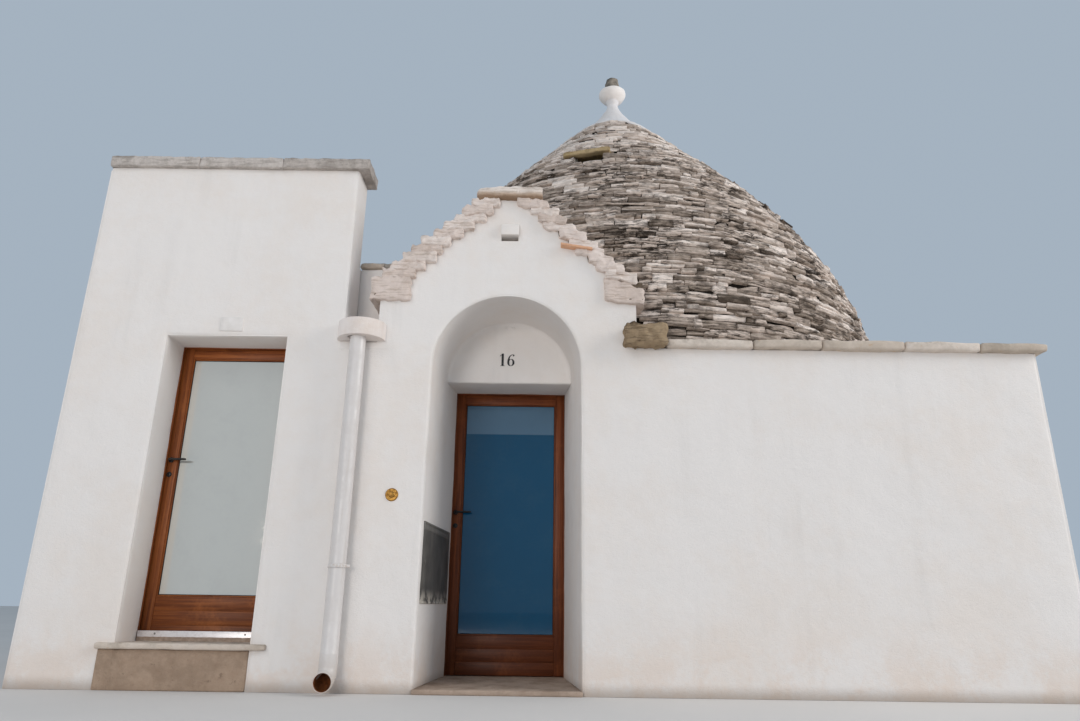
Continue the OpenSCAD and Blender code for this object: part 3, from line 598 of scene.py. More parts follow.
def limestone(name, stops, crust, crust_share, lichen, lichen_share, pits=0.45, scale=1.0, layers=0.0):
    """Weathered limestone: each slab's own tone from the stops, cloudy inside, with a dark crust in patches
    that is strongest on the upper side, and small dots of lichen. Layers adds fine grooves along the bed and
    darkens them with the crust colour: partly the stone's darker layers, partly painted shade in the grooves."""
    material, tree, shader, place = finish(name, 0.93, Specular_IOR_Level=0.2)
    tone = node(tree, "ShaderNodeAttribute", attribute_name="tone").outputs["Fac"]
    cloud = times(tree, plus(tree, noise(tree, place, 14.0 * scale, 6.0, 0.65), -0.5), 0.9)
    colour = ramp(tree, plus(tree, tone, cloud), *stops)
    upward = mask(tree, height_of(tree, node(tree, "ShaderNodeNewGeometry").outputs["Normal"]), -0.5, 0.9)
    patch = times(tree, patches(tree, place, 5.0 * scale, 0.44, 0.62), crust_share)
    colour = tint(tree, patch, plus(tree, upward, 0.35), colour, crust)
    colour = tint(tree, patches(tree, place, 26.0 * scale, 0.60, 0.66), lichen_share, colour, lichen)
    strata = strata_of(tree, place)
    # Partly painted shade: the grooves along the bed are darkened with the crust colour.
    colour = tint(tree, mask(tree, strata, 0.50, 0.36), layers * 0.6, colour, crust)
    rough = hand_laid(tree, place, 1.8 * scale, 0.7, pits)
    surface(tree, shader, colour, bump(tree, strata, layers, 0.006, rough))
    return material


slab_stone = limestone("slab_stone", [(0.0, rgb(186, 172, 157)), (0.45, rgb(209, 195, 181)),
                                      (1.0, rgb(226, 214, 203))],
                       rgb(148, 136, 122), 0.55, rgb(196, 160, 118), 0.45)
flag_stone = limestone("flag_stone", [(0.0, rgb(164, 144, 128)), (1.0, rgb(186, 166, 150))],
                       rgb(122, 102, 86), 0.4, rgb(110, 96, 82), 0.3, pits=0.2)

low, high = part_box("threshold")
slab, tone = split_stones([[low.x, low.y, 0]], [high], 11, 0.007, (24, 16, 3), 0.0012)
points = slab[0]
depth = np.clip(points[:, 1], 0, None)
limit = niche_half(np.minimum(depth, DOOR_Y)) + 0.001
points[:, 0] = np.clip(points[:, 0], -limit, limit)
points[:, 2] = np.clip(points[:, 2], 0, high.z)
threshold_slab = mesh_of("threshold_slab", "slab_stone", slab, tone=tone * 0 + 0.5, material=flag_stone)
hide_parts("threshold")
dress("trullo_floor side_floor", flag_stone)

# Side room: a later flat-roofed room of the same property, plastered and whitewashed. Its front runs flush
# into the trullo's and rises over the low roof as a parapet. The doorway is square, its edges softly rounded.
SIDE_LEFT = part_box("side_front_left")[0].x
SIDE_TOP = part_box("side_front_left")[1].z + 0.020
SIDE_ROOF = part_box("side_roof")[1].z
PARAPET_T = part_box("side_coping")[1].y
SIDE_DOOR_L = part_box("side_front_left")[1].x
SIDE_DOOR_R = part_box("side_front_right")[0].x
SIDE_DOOR_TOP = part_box("side_lintel")[0].z
SIDE_FRAME_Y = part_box("side_door_frame")[0].y
SIDE_ROUND = 0.022


def doorway_skin(rows_z):
    """The side room's front round its doorway: columns run out of the reveal, round its edge and over the
    front to a rectangle. Rows go up the right jamb, across the head and down the left jamb."""
    depth = np.linspace(SIDE_FRAME_Y, SIDE_ROUND, 8)
    turn = np.linspace(0, np.pi / 2, 6)[1:]
    y = np.concatenate([depth, SIDE_ROUND * (1 - np.sin(turn))])
    out = np.concatenate([0 * depth, SIDE_ROUND * (1 - np.cos(turn))])
    rise = (rows_z / SIDE_TOP)[:, None]
    run = np.linspace(0, 1, 26)[:, None]
    right_jamb = at(SIDE_DOOR_R + out, y, rise * (SIDE_DOOR_TOP + out))
    left_jamb = at(SIDE_DOOR_L - out, y, rise * (SIDE_DOOR_TOP + out))[::-1]
    head_x = (SIDE_DOOR_R + out) * (1 - run) + (SIDE_DOOR_L - out) * run
    head = at(head_x, y, SIDE_DOOR_TOP + out)
    end_r, end_l = PARTY_X - SIDE_ROUND, SIDE_LEFT + SIDE_ROUND
    edges = [at(end_r, 0, rows_z), at(end_r + (end_l - end_r) * run[:, 0], 0, SIDE_TOP),
             at(end_l, 0, rows_z[::-1])]
    reach = np.linspace(0, 1, 18)[1:, None] ** 1.1
    parts = []
    for inner, outer in zip((right_jamb, head, left_jamb), edges):
        edge = inner[:, -1:]
        parts.append(grid(np.concatenate([inner, edge + (outer[:, None] - edge) * reach], 1)))
    return parts


def flat_roof():
    """The low roof's plaster behind the parapet, out to the faces of the other three walls."""
    x = np.linspace(SIDE_LEFT - COAT_LIFT, PARTY_X + COAT_LIFT, 24)
    y = np.linspace(PARAPET_T, BODY_BACK + COAT_LIFT, 60)
    return grid(at(x, y[:, None], SIDE_ROOF))


def side_plan(back, *start):
    """Plan path from a start beside the trullo, over a rear face at the depth, to the front's left edge."""
    return plan_path([*start, (PARTY_X, back), (SIDE_LEFT, back), (SIDE_LEFT, 0),
                      (SIDE_LEFT + SIDE_ROUND, 0)], SIDE_ROUND - 0.0001, 0.08)


upper_rows = np.linspace(EAVES, SIDE_ROOF, 20)
parapet_rows = np.linspace(SIDE_ROOF, SIDE_TOP, 16)
flush_strip = at(PARTY_X - SIDE_ROUND * np.linspace(1, 0, 3), 0)
front_right = (PARTY_X - SIDE_ROUND, 0), (PARTY_X, 0)
side_coat = mesh_of("side_room_coat", "whitewash",
                    *doorway_skin(np.concatenate([rows, upper_rows[1:], parapet_rows[1:]])),
                    wall_skin(flush_strip, rows), wall_skin(side_plan(BODY_BACK), rows),
                    wall_skin(side_plan(BODY_BACK, *front_right), upper_rows),
                    wall_skin(side_plan(PARAPET_T, *front_right), parapet_rows), flat_roof(),
                    material=facade_white)
weld(side_coat)
swell(side_coat, COAT_LIFT, *COAT_RELIEF)
thicken(side_coat, COAT_T)
dress("side_front_left side_front_right side_lintel side_left_wall side_right_wall side_back_wall side_roof",
      facade_white)

# Coping, step and riser: sawn and hand-dressed stone slabs bedded on the side room's parapet and in its
# doorway. The step slab passes the doorway on both sides, and the riser's facing runs on under its left end.


def cut_run(start, stop, length, rng, gap=0.004):
    """Starts and ends of slabs of uneven length in a run, with a gap at each joint."""
    count = max(1, int(round((stop - start) / length)))
    share = np.cumsum(rng.uniform(0.8, 1.25, count))
    joints = start + (stop - start) * np.concatenate([[0], share / share[-1]])
    return joints[:-1] + gap / 2, joints[1:] - gap / 2


def slab_row(low, high, axis, length, rng, gap=0.004, jitter=0.003):
    """Boxes for a run of slabs that fills the space between two corners along an axis, each a little out of
    line with the next."""
    starts, ends = cut_run(low[axis], high[axis], length, rng, gap)
    lows, highs = (np.tile(np.array(corner, float), (len(starts), 1)) for corner in (low, high))
    lows += rng.uniform(-jitter, jitter, lows.shape)
    highs += rng.uniform(-jitter, jitter, highs.shape)
    lows[:, axis], highs[:, axis] = starts, ends
    return lows, highs


rng = np.random.default_rng(21)
low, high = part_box("side_coping")
COPING_FRONT = -0.038
lows, highs = slab_row((low.x, COPING_FRONT, SIDE_TOP), (high.x, high.y, high.z + 0.008), 0, 0.70, rng,
                       0.001, 0.002)
slabs, tone = split_stones(lows, highs, 22, 0.008, (22, 9, 5), 0.0045, 0.07)
coping_stone = limestone("coping_stone", [(0.0, rgb(176, 166, 158)), (0.5, rgb(204, 195, 188)),
                                          (1.0, rgb(226, 218, 212))],
                         rgb(104, 94, 84), 0.6, rgb(205, 186, 164), 0.4, scale=2.0, layers=0.5)
coping = mesh_of("coping_slabs", "slab_stone", slabs, tone=tone * 0.4 + 0.3, material=coping_stone)
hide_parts("side_coping")

low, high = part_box("side_step")
riser_low, riser_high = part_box("side_riser")
step_boxes = ([[low.x, low.y, low.z], [SIDE_DOOR_L, 0.0, low.z]],
              [[high.x, 0.03, high.z], [SIDE_DOOR_R, high.y, high.z]])
stones, tone = split_stones(*step_boxes, 31, 0.009, (14, 8, 4), 0.0022, 0.14)
step = mesh_of("step_slab", "slab_stone", stones, tone=tone * 0.4 + 0.5, material=slab_stone)
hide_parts("side_step")
stones, tone = split_stones([riser_low, [low.x + 0.01, -0.010, 0]],
                            [riser_high, [riser_low.x + 0.02, 0.03, riser_high.z]],
                            33, 0.008, (18, 6, 8), 0.0022, 0.16)
# Partly painted shade: the riser's stone is darker than the step's, partly its own tone and partly the shade
# under the step's nose.
riser_stone = limestone("riser_stone", [(0.0, rgb(160, 136, 116)), (1.0, rgb(192, 170, 150))],
                        rgb(128, 108, 90), 0.6, rgb(110, 92, 76), 0.5)
riser = mesh_of("riser_stone", "slab_stone", stones, tone=tone * 0.0 + 0.35, material=riser_stone)
riser.data.vertices.foreach_set("co", np.maximum(places(riser)[0], [-9, -9, 0]).astype(np.float32).ravel())
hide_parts("side_riser")

# Cone: dry-stone courses of thin split limestone slabs, each course set back from the one below and
# carrying no mortar. The imported cone behind is the rubble backing that shows in the joints, painted
# near-black outside as their shade.
AXIS = np.array([(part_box("pinnacle_ball")[0][i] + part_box("pinnacle_ball")[1][i]) / 2 for i in range(2)])
CAP_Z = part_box("cone_cap")[0].z
COURSES = 48
COURSE_H = (CAP_Z - EAVES) / COURSES
APEX_Z = 6.029
SLOPE = 0.91
BEND_Z = 4.430
FOOT_R = 2.450
WINDOW_LOW, WINDOW_HIGH = 4.450, 4.600
WINDOW_TURN = np.radians(-90 - 15.6)
WINDOW_HALF, HOOD_HALF = 0.130, 0.225
SILL_TOP, HOOD_TOP = 4.418, 4.640
GABLE_T = 0.75
KNEELER_OUT, KNEELER_Z1 = 0.962, 2.706
VERGE_OUT, VERGE_STEP, VERGE_H = 0.900, 0.069, 0.0635
RIDGE_HALF, RIDGE_Z0, RIDGE_Z1 = 0.2245, 3.341, 3.441
NO_ROOF = -9.0
LOBE_TURN, LOBE_SPREAD, LOBE_DROP = -0.75, 0.38, 0.21
STONE_W, STONE_H, CLEAR = 0.030, 0.013, 0.003


def cone_radius(z):
    """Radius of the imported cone: straight above the bend, a parabola that ends upright below it."""
    drop = BEND_Z - z
    bend = (APEX_Z - BEND_Z) * SLOPE
    curve = (bend + SLOPE * (BEND_Z - EAVES) - FOOT_R) / (BEND_Z - EAVES) ** 2
    return np.where(drop < 0, (APEX_Z - z) * SLOPE, bend + SLOPE * drop - curve * drop ** 2)


def round_axis(radius, angle, z):
    """Places at a distance from the cone's axis, an angle round it and a height."""
    return at(AXIS[0] + radius * np.cos(angle), AXIS[1] + radius * np.sin(angle), z)


def wave_of(angle, z):
    """Rise of the bed between two courses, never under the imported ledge: a slow wave round the cone."""
    return 0.007 + 0.0045 * np.sin(5 * angle + 3.1 * z) + 0.0025 * np.sin(13 * angle - 7.3 * z)


def cap_foot(angle):
    """Height of the plaster cap's lower edge round the cone: it runs down furthest on the right."""
    right = np.exp(-((np.mod(angle - LOBE_TURN + np.pi, 2 * np.pi) - np.pi) / LOBE_SPREAD) ** 2)
    return CAP_Z - 0.045 - LOBE_DROP * right + 0.012 * np.sin(7 * angle + 1) + 0.008 * np.sin(17 * angle)


def cut_round(start, stop, length, rng):
    """Cuts a stretch of a course, given by two angles, into stones of uneven length."""
    widths = rng.uniform(0.4, 1.8, max(1, int(round((stop - start) / length))))
    ends = start + (stop - start) * np.concatenate([[0], np.cumsum(widths)]) / widths.sum()
    return np.stack([ends[:-1], ends[1:]])


def course_stones(i, rng):
    """Stones of one course: for each its middle and half angle, bottom, top and how far its face stands
    proud. In most places a course is two thin slabs high, each layer with joints of its own. Stones give
    way to the window, to the slab over it and to the plaster cap, and what is left too small is dropped."""
    z0, z1 = EAVES + i * COURSE_H, EAVES + (i + 1) * COURSE_H
    radius = float(cone_radius(z0 + COURSE_H / 2))
    length = (0.105 + 0.032 * radius) / radius
    start = rng.uniform(0, 2 * np.pi)
    first, last = cut_round(start, start + 2 * np.pi, length, rng)
    halved = rng.random(len(first)) < 0.80
    phase = rng.uniform(0, 2 * np.pi, 2)

    def beds(a0, a1, layer):
        """Bottom and top of stones that fill the course, its lower layer or its upper layer."""
        middle = (a0 + a1) / 2
        low, high = z0 + wave_of(middle, z0), z1 + wave_of(middle, z1)
        share = 0.5 + 0.13 * np.sin(4 * middle + phase[0]) + 0.07 * np.sin(11 * middle + phase[1])
        seam = low + (high - low) * share
        return (seam if layer == 2 else low), (seam if layer == 1 else high)

    layers = [(first[~halved], last[~halved], 0), (first[halved], last[halved], 1)]
    edges = np.flatnonzero(np.diff(np.concatenate([[0], halved.astype(int), [0]])))
    for begin, end in zip(edges[::2], edges[1::2]):
        layers.append((*cut_round(first[begin], last[end - 1], length * 0.9, rng), 2))
    stones = np.concatenate([at(a0, a1, *beds(a0, a1, layer)) for a0, a1, layer in layers])
    count = len(stones)
    stones[:, 0] += rng.uniform(-0.0015, 0.002, count) / radius
    stones[:, 1] -= rng.uniform(-0.0015, 0.002, count) / radius
    stones[:, 2] += rng.uniform(0.000, 0.008, count)
    stones[:, 3] -= rng.uniform(-0.003, 0.004, count)
    aside = np.mod((stones[:, 0] + stones[:, 1]) / 2 - WINDOW_TURN + np.pi, 2 * np.pi) - np.pi
    half = (stones[:, 1] - stones[:, 0]) / 2
    edge = (WINDOW_HALF + 0.004) / radius
    hood = (HOOD_HALF + 0.03) / radius
    near, far = np.abs(aside) - half, np.abs(aside) + half
    low, high = stones[:, 2], stones[:, 3]
    under = (near < edge) & (low < WINDOW_LOW - 0.01) & (high > SILL_TOP)
    high[under] = SILL_TOP
    opening = (near < edge) & (low >= WINDOW_LOW - 0.012) & (low < WINDOW_HIGH - 0.01)
    near = np.where(opening, edge, near)
    keep = (far - near > STONE_W / radius) & (high - low > STONE_H)
    centre = np.where(opening, np.where(aside >= 0, 1, -1) * (near + far) / 2, aside) + WINDOW_TURN
    half = np.where(opening, (far - near) / 2, half)
    beside = near < hood
    below = beside & (low < WINDOW_HIGH) & (high > WINDOW_HIGH - CLEAR)
    high[below] = WINDOW_HIGH - CLEAR
    above = beside & (low >= WINDOW_HIGH - 0.02) & (low < HOOD_TOP + CLEAR)
    low[above] = HOOD_TOP + CLEAR
    high = np.minimum(high, cap_foot(centre) + 0.004)
    keep &= high - low > STONE_H
    proud = rng.uniform(0.008, 0.040 if z0 < 4.9 else 0.024, count)
    return at(centre, half, low, high, proud, radius)[keep]


def roof_edge(z):
    """Half the width of the entrance roof at height z: the kneelers, the stepped slabs, the ridge."""
    stepped = VERGE_OUT - VERGE_STEP * np.floor((z - KNEELER_Z1) / VERGE_H)
    return np.select([z < KNEELER_Z1, z < RIDGE_Z0, z < RIDGE_Z1 - 0.002],
                     [KNEELER_OUT, stepped, RIDGE_HALF], NO_ROOF)


def hidden(x, y, z):
    """Places inside the entrance block, the side room, the valley wall or the spout slab."""
    block = (np.abs(x) < roof_edge(z) - 0.01) & ((y < GABLE_T - 0.01) | ((x < 0) & (y < AXIS[1])))
    party = (x < PARTY_X + 0.03) & (z < SIDE_ROOF + 0.01)
    valley = (x < -0.90) & (y > 0.60) & (y < 0.85) & (z < 3.10)
    spout = (x > 0.90) & (x < 1.085) & (y < 0.29) & (z < 2.36)
    return block | party | valley | spout


def laid_courses(first, last, seed):
    """The stones of several courses: rounded blocks, roughened, leant back and bent round the cone."""
    rng = np.random.default_rng(seed)
    stones = np.concatenate([course_stones(i, rng) for i in range(first, last)])
    centre, half, low, high, proud, radius = stones.T
    face = radius + proud
    stones = stones[~hidden(*round_axis(face, centre, (low + high) / 2).T)]
    centre, half, low, high, proud, radius = stones.T
    count = len(stones)
    reach = half * radius
    depth = rng.uniform(0.12, 0.16, count)
    lows = at(-reach, 0, low)
    highs = at(reach, depth, high)
    bend = np.minimum(0.20 * (high - low), 0.008) * rng.uniform(0.5, 1.0, count)
    points, faces = blocks(lows, highs, bend, (5, 2, 2))
    own = points + rng.uniform(-40, 40, (count, 1, 3))
    points[..., 0] += relief(own, seed + 1, 0.05, 0.007)
    points[..., 1] += relief(own, seed + 2, 0.08, 0.009)
    points[..., 2] += relief(own, seed + 3, 0.09, 0.0050)
    points[..., 2] += points[..., 0] * rng.normal(0, 0.018, (count, 1))
    points[..., 1] += (points[..., 2] - low[:, None]) * rng.uniform(0.0, 0.22, (count, 1))
    angle = centre[:, None] + points[..., 0] / radius[:, None]
    out = (radius + proud)[:, None] - points[..., 1]
    bent = round_axis(out, angle, points[..., 2])
    tone = np.clip(rng.normal(0.55, 0.25, count) + 0.20 * np.clip((low - 4.4) / 0.5, 0, 1), 0, 1)
    return spread(bent, faces), np.repeat(tone, points.shape[1])


def weathered_slabs():
    """Split limestone of the cone: pale faces, each with its own tone, drawn out into thin strata along the
    bed. Near-black streaks along the bed, gathered in large patches, are partly black crust and partly
    painted shade under the thin layers; they fade out towards the cap."""
    material, tree, shader, place = finish("cone_stone", 0.95, Specular_IOR_Level=0.15)
    tone = node(tree, "ShaderNodeAttribute", attribute_name="tone").outputs["Fac"]
    strata = strata_of(tree, place)
    mixed = plus(tree, times(tree, noise(tree, place, 15.0, 6.0, 0.65), 0.7), times(tree, strata, 0.9))
    colour = ramp(tree, plus(tree, tone, plus(tree, mixed, -0.8)), (0.0, rgb(92, 80, 70)),
                  (0.28, rgb(154, 139, 126)), (0.60, rgb(208, 191, 178)), (1.0, rgb(246, 232, 221)))
    # Partly painted shade: the near-black streaks along the bed stand both for crust and for the shade under
    # thin layers.
    streak = mask(tree, noise(tree, stretched(tree, place, (10.0, 10.0, 60.0)), 1.0, 5.0, 0.7), 0.45, 0.55)
    crust = times(tree, plus(tree, times(tree, patches(tree, place, 2.6, 0.40, 0.60), 0.70), 0.24), streak)
    fade = mask(tree, height_of(tree, place), 5.3, 4.2)
    colour = tint(tree, crust, plus(tree, times(tree, fade, 0.6), 0.4), colour, rgb(48, 40, 34))
    colour = tint(tree, patches(tree, place, 24.0, 0.60, 0.66), 0.35, colour, rgb(226, 212, 196))
    surface(tree, shader, colour, bump(tree, strata, 0.8, 0.006, hand_laid(tree, place, 1.8, 0.6, 0.6)))
    return material


cone_stone = weathered_slabs()
for name, first, last, seed in (("cone_courses_low", 0, 9, 41), ("cone_courses_second", 9, 18, 45),
                                ("cone_courses_third", 18, 29, 51), ("cone_courses_high", 29, COURSES, 61)):
    stones, tone = laid_courses(first, last, seed)
    mesh_of(name, "cone_stone", stones, material=cone_stone, tone=tone)


def cone_backing():
    """Rubble backing: near-black on its outward faces as painted shade deep in the joints between the stones,
    plain pale stone on the corbelled inside, told apart by whether the surface looks towards the cone's axis."""
    material, tree, shader, place = finish("cone_backing", 0.95, Specular_IOR_Level=0.1)
    away = vectors(tree, "SUBTRACT", place, (AXIS[0], AXIS[1], 0))
    normal = node(tree, "ShaderNodeNewGeometry").outputs["Normal"]
    side = vectors(tree, "DOT_PRODUCT", stretched(tree, away, (1.0, 1.0, 0.0)), normal, "Value")
    # Painted shade: the outward faces are near-black so that the joints between the stones read as deep
    # shade.
    outer = ramp(tree, noise(tree, place, 22.0), (0.3, rgb(22, 18, 15)), (0.7, rgb(40, 34, 29)))
    inner = ramp(tree, noise(tree, stretched(tree, place, (1, 1, 6)), 5.0), (0.3, rgb(150, 142, 132)),
                 (0.7, rgb(190, 182, 172)))
    surface(tree, shader, tint(tree, mask(tree, side, -0.02, 0.02), 1.0, inner, outer),
            hand_laid(tree, place, 1.5, 0.6, 0.4))
    return material


backing = cone_backing()
dress("cone_front cone_right cone_back cone_left cone_top_front cone_top_back", backing)

# Window hood: one thick slab that bears on the stones on both sides of the small window, stained yellow
# by lichen underneath and darkened further in under the slab as painted shade.
HOOD_OUT, HOOD_SHIFT = 0.070, -0.03
face = float(cone_radius(WINDOW_HIGH)) + HOOD_OUT
stones, tone = split_stones([[-HOOD_HALF, 0, WINDOW_HIGH - 0.006]], [[HOOD_HALF, 0.37, HOOD_TOP]], 71, 0.012,
                            (16, 12, 5), 0.010, 0.08)
points = stones[0]
# Painted shade: points more than 55 mm in from the slab's face, in its lower half, get a dark tone.
shade = np.clip((points[:, 1] - 0.055) / 0.03, 0, 1) * (points[:, 2] < (WINDOW_HIGH + HOOD_TOP) / 2)
aim = np.array([np.cos(WINDOW_TURN), np.sin(WINDOW_TURN)])
beside = np.array([-aim[1], aim[0]])
plan = AXIS + (face - points[:, 1:2]) * aim + (points[:, :1] + HOOD_SHIFT) * beside
hood_stone = limestone("hood_stone", [(0.0, rgb(104, 88, 62)), (0.35, rgb(170, 150, 112)),
                                      (1.0, rgb(200, 176, 138))],
                       rgb(122, 98, 64), 0.8, rgb(186, 150, 84), 0.8)
hood = mesh_of("window_hood_slab", "slab_stone", (np.concatenate([plan, points[:, 2:]], 1), stones[1]),
               tone=0.7 - 1.2 * shade, material=hood_stone)
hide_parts("window_hood")

# Pinnacle: the plastered white cap runs up from the last courses to a narrow waist, flares under a
# flattened stone ball and ends in a rough stub. All three are turned about the cone's axis and limewashed,
# apart from the bare stub. The cap's limewash is a shade darker and cooler, as painted shade, and the
# ball's a shade lighter, as painted light.
WAIST_R, CAP_H, NECK_R, NECK_H = 0.060, 0.462, 0.080, 0.064
BALL_R, BALL_LOW_H, BALL_HIGH_H = 0.155, 0.120, 0.074
STUB_R, STUB_TOP_R = 0.086, 0.072
PIN_R = 0.0005
CAP_LAP = 0.042


def turned(profile, sides=72):
    """A profile of (radius, height) points carried round the cone's axis, from the bottom to the top. It
    starts and ends at a pinhole round the axis, which the weld afterwards closes."""
    angle = np.linspace(0, 2 * np.pi, sides, endpoint=False)
    return grid(round_axis(profile[:, :1], angle, profile[:, 1:]), ring=True)


def cap_skin():
    """The cap's plaster laps over the last courses, follows the cone's slope up to the cap's foot and then
    bends in to the waist as a power of the rise that is left; above it the neck flares with the square of
    its own rise. The coat is thickest along its uneven lower edge."""
    angle = np.linspace(0, 2 * np.pi, 120, endpoint=False)
    waist, foot = CAP_Z + CAP_H, float(cone_radius(CAP_Z))
    start = cap_foot(angle)
    t = np.linspace(0, 1, 28)[:, None] ** 1.1
    z = start + (waist - start) * t
    left = np.clip((waist - z) / CAP_H, 0, 1)
    bent = WAIST_R + (foot - WAIST_R) * left ** (SLOPE * CAP_H / (foot - WAIST_R))
    r = np.where(z < CAP_Z, cone_radius(z), bent)
    r = r + CAP_LAP * np.clip((CAP_Z + 0.07 - z) / 0.09, 0, 1)
    t = np.linspace(0, 1, 8)[1:, None] + 0 * angle
    neck_r, neck_z = WAIST_R + (NECK_R - WAIST_R) * t ** 2, waist + NECK_H * t
    r = np.concatenate([[r[0] - 0.07, r[0] - 0.010], r, neck_r])
    z = np.concatenate([[start - 0.010, start - 0.008], z, neck_z])
    return grid(round_axis(r, angle, z), ring=True)


# Painted shade: the cap's limewash is a shade darker and cooler than the ball's.
shaded_cap_white = whitewash("cap_limewash_painted_shade", rgb(228, 225, 225), rgb(222, 216, 212), rgb(176, 172, 168), 0.0,
                      rgb(220, 200, 180))
cap = mesh_of("white_cap", "whitewash", cap_skin(), material=shaded_cap_white)
swell(cap, 0.0, (81, 0.12, 0.004), (82, 0.05, 0.0012))
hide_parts("cone_cap")

NECK_Z = CAP_Z + CAP_H + NECK_H
start, stop = -np.arccos(NECK_R / BALL_R), np.arccos(STUB_R / BALL_R)
BALL_Z = NECK_Z - BALL_LOW_H * np.sin(start)
STUB_Z = BALL_Z + BALL_HIGH_H * np.sin(stop)
swing = np.linspace(start, stop, 26)
round_part = at(BALL_R * np.cos(swing), BALL_Z + np.where(swing < 0, BALL_LOW_H, BALL_HIGH_H) * np.sin(swing))
# Painted light: the ball's limewash is a shade lighter than the cap's, against the shade on its underside.
lit_ball_white = whitewash("ball_limewash_painted_light", rgb(244, 238, 233), rgb(236, 226, 218), rgb(188, 180, 172), 0.0,
                       rgb(220, 200, 180))
ball = mesh_of("pinnacle_ball_stone", "whitewash", turned(np.concatenate([
    [(PIN_R, NECK_Z - 0.004), (NECK_R * 0.9, NECK_Z - 0.004)], round_part, [(PIN_R, STUB_Z)]])),
    material=lit_ball_white)
weld(ball, 0.002)
swell(ball, -0.001, (83, 0.14, 0.004), (84, 0.04, 0.001))
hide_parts("pinnacle_ball")

TOP_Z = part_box("pinnacle_stub")[1].z
rise = np.linspace(0, 1, 9)
stub_side = at(STUB_R + (STUB_TOP_R - STUB_R) * rise, STUB_Z + (TOP_Z - 0.012 - STUB_Z) * rise)
stub_stone = limestone("stub_stone", [(0.0, rgb(150, 140, 128)), (1.0, rgb(206, 194, 182))],
                       rgb(84, 82, 76), 0.9, rgb(190, 174, 140), 0.4, scale=2.0)
stub = mesh_of("pinnacle_stub_stone", "cone_stone", turned(np.concatenate([
    [(PIN_R, STUB_Z - 0.006), (STUB_R * 0.96, STUB_Z - 0.006)], stub_side,
    [(STUB_TOP_R - 0.012, TOP_Z - 0.003), (STUB_TOP_R * 0.5, TOP_Z - 0.002), (PIN_R, TOP_Z - 0.003)]]), 40),
    material=stub_stone)
weld(stub, 0.002)
swell(stub, -0.002, (85, 0.06, 0.007), (86, 0.025, 0.002))
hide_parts("pinnacle_stub")

# Entrance roof: thick kneeler slabs at the foot of each slope and thinner slabs stepped up to the ridge,
# laid dry and close with their split ends just past the wall. The left slope runs on to the cone.
SLAB_FRONT = -0.040
KNEELER_IN, KNEELER_Z0 = 0.682, 2.540
VERGE_COURSES, VERGE_W = 10, 0.220


def roof_end(x, z):
    """Depth at which the left slope meets the cone at a place across and up."""
    return AXIS[1] - np.sqrt(np.maximum(cone_radius(z) ** 2 - (x - AXIS[0]) ** 2, 0)) + 0.06


def verge_slabs(side, rng):
    """The slabs of one slope, split along the depth. Each is drawn down by its own fall times the distance
    from its middle, more on the right slope, and the right kneeler thins towards its outer end."""
    lows, highs, falls = [], [], []
    for i in range(VERGE_COURSES + 1):
        kneeler = i == VERGE_COURSES
        out = KNEELER_OUT if kneeler else VERGE_OUT - i * VERGE_STEP
        z0 = KNEELER_Z0 if kneeler else KNEELER_Z1 + i * VERGE_H
        z1 = KNEELER_Z1 if kneeler else KNEELER_Z1 + (i + 1) * VERGE_H
        width = KNEELER_OUT - KNEELER_IN if kneeler else VERGE_W
        end = GABLE_T if side > 0 else max(GABLE_T, float(roof_end(-out, z0)))
        starts, ends = cut_run(SLAB_FRONT - rng.uniform(-0.004, 0.010), end, 0.40 if kneeler else 0.27, rng,
                               0.003)
        for y0, y1 in zip(starts, ends):
            outer = out + rng.uniform(-0.014, 0.012)
            inner = out - width - rng.uniform(-0.020, 0.030)
            lows.append([inner if side > 0 else -outer, y0, z0 - rng.uniform(0.003, 0.009)])
            highs.append([outer if side > 0 else -inner, y1, z1 + rng.uniform(0.003, 0.009)])
            falls.append((rng.uniform(0.10, 0.14) if side > 0 else rng.uniform(-0.01, 0.03)) if kneeler else
                         (rng.uniform(0.16, 0.26) if side > 0 else rng.uniform(0.01, 0.09)))
    (points, faces), tone = split_stones(lows, highs, 92 + side, 0.011, (14, 8, 7), 0.0110, 0.050)
    size = len(points) // len(lows)
    middle = np.repeat((np.array(lows) + highs) / 2, size, 0)
    fall = np.repeat(falls, size)
    points[:, 2] -= fall * (side * (points[:, 0] - middle[:, 0]))
    if side > 0:
        share = np.clip((points[:, 0] - KNEELER_IN) / (KNEELER_OUT - KNEELER_IN), 0, 1)
        first = middle[:, 2] < KNEELER_Z1
        points[:, 2] -= first * 0.40 * share ** 1.5 * np.clip(points[:, 2] - KNEELER_Z0, 0, None)
    return (points, faces), tone


rng = np.random.default_rng(91)
(left_slabs, left_tone), (right_slabs, right_tone) = verge_slabs(-1, rng), verge_slabs(1, rng)
verge_stone = limestone("verge_stone", [(0.0, rgb(222, 206, 196)), (0.5, rgb(230, 215, 206)),
                                        (1.0, rgb(238, 226, 218))],
                        rgb(170, 148, 130), 0.40, rgb(204, 172, 142), 0.4, layers=0.8)
mesh_of("verge_slabs", "slab_stone", left_slabs, right_slabs, material=verge_stone,
        tone=np.concatenate([left_tone, right_tone]))

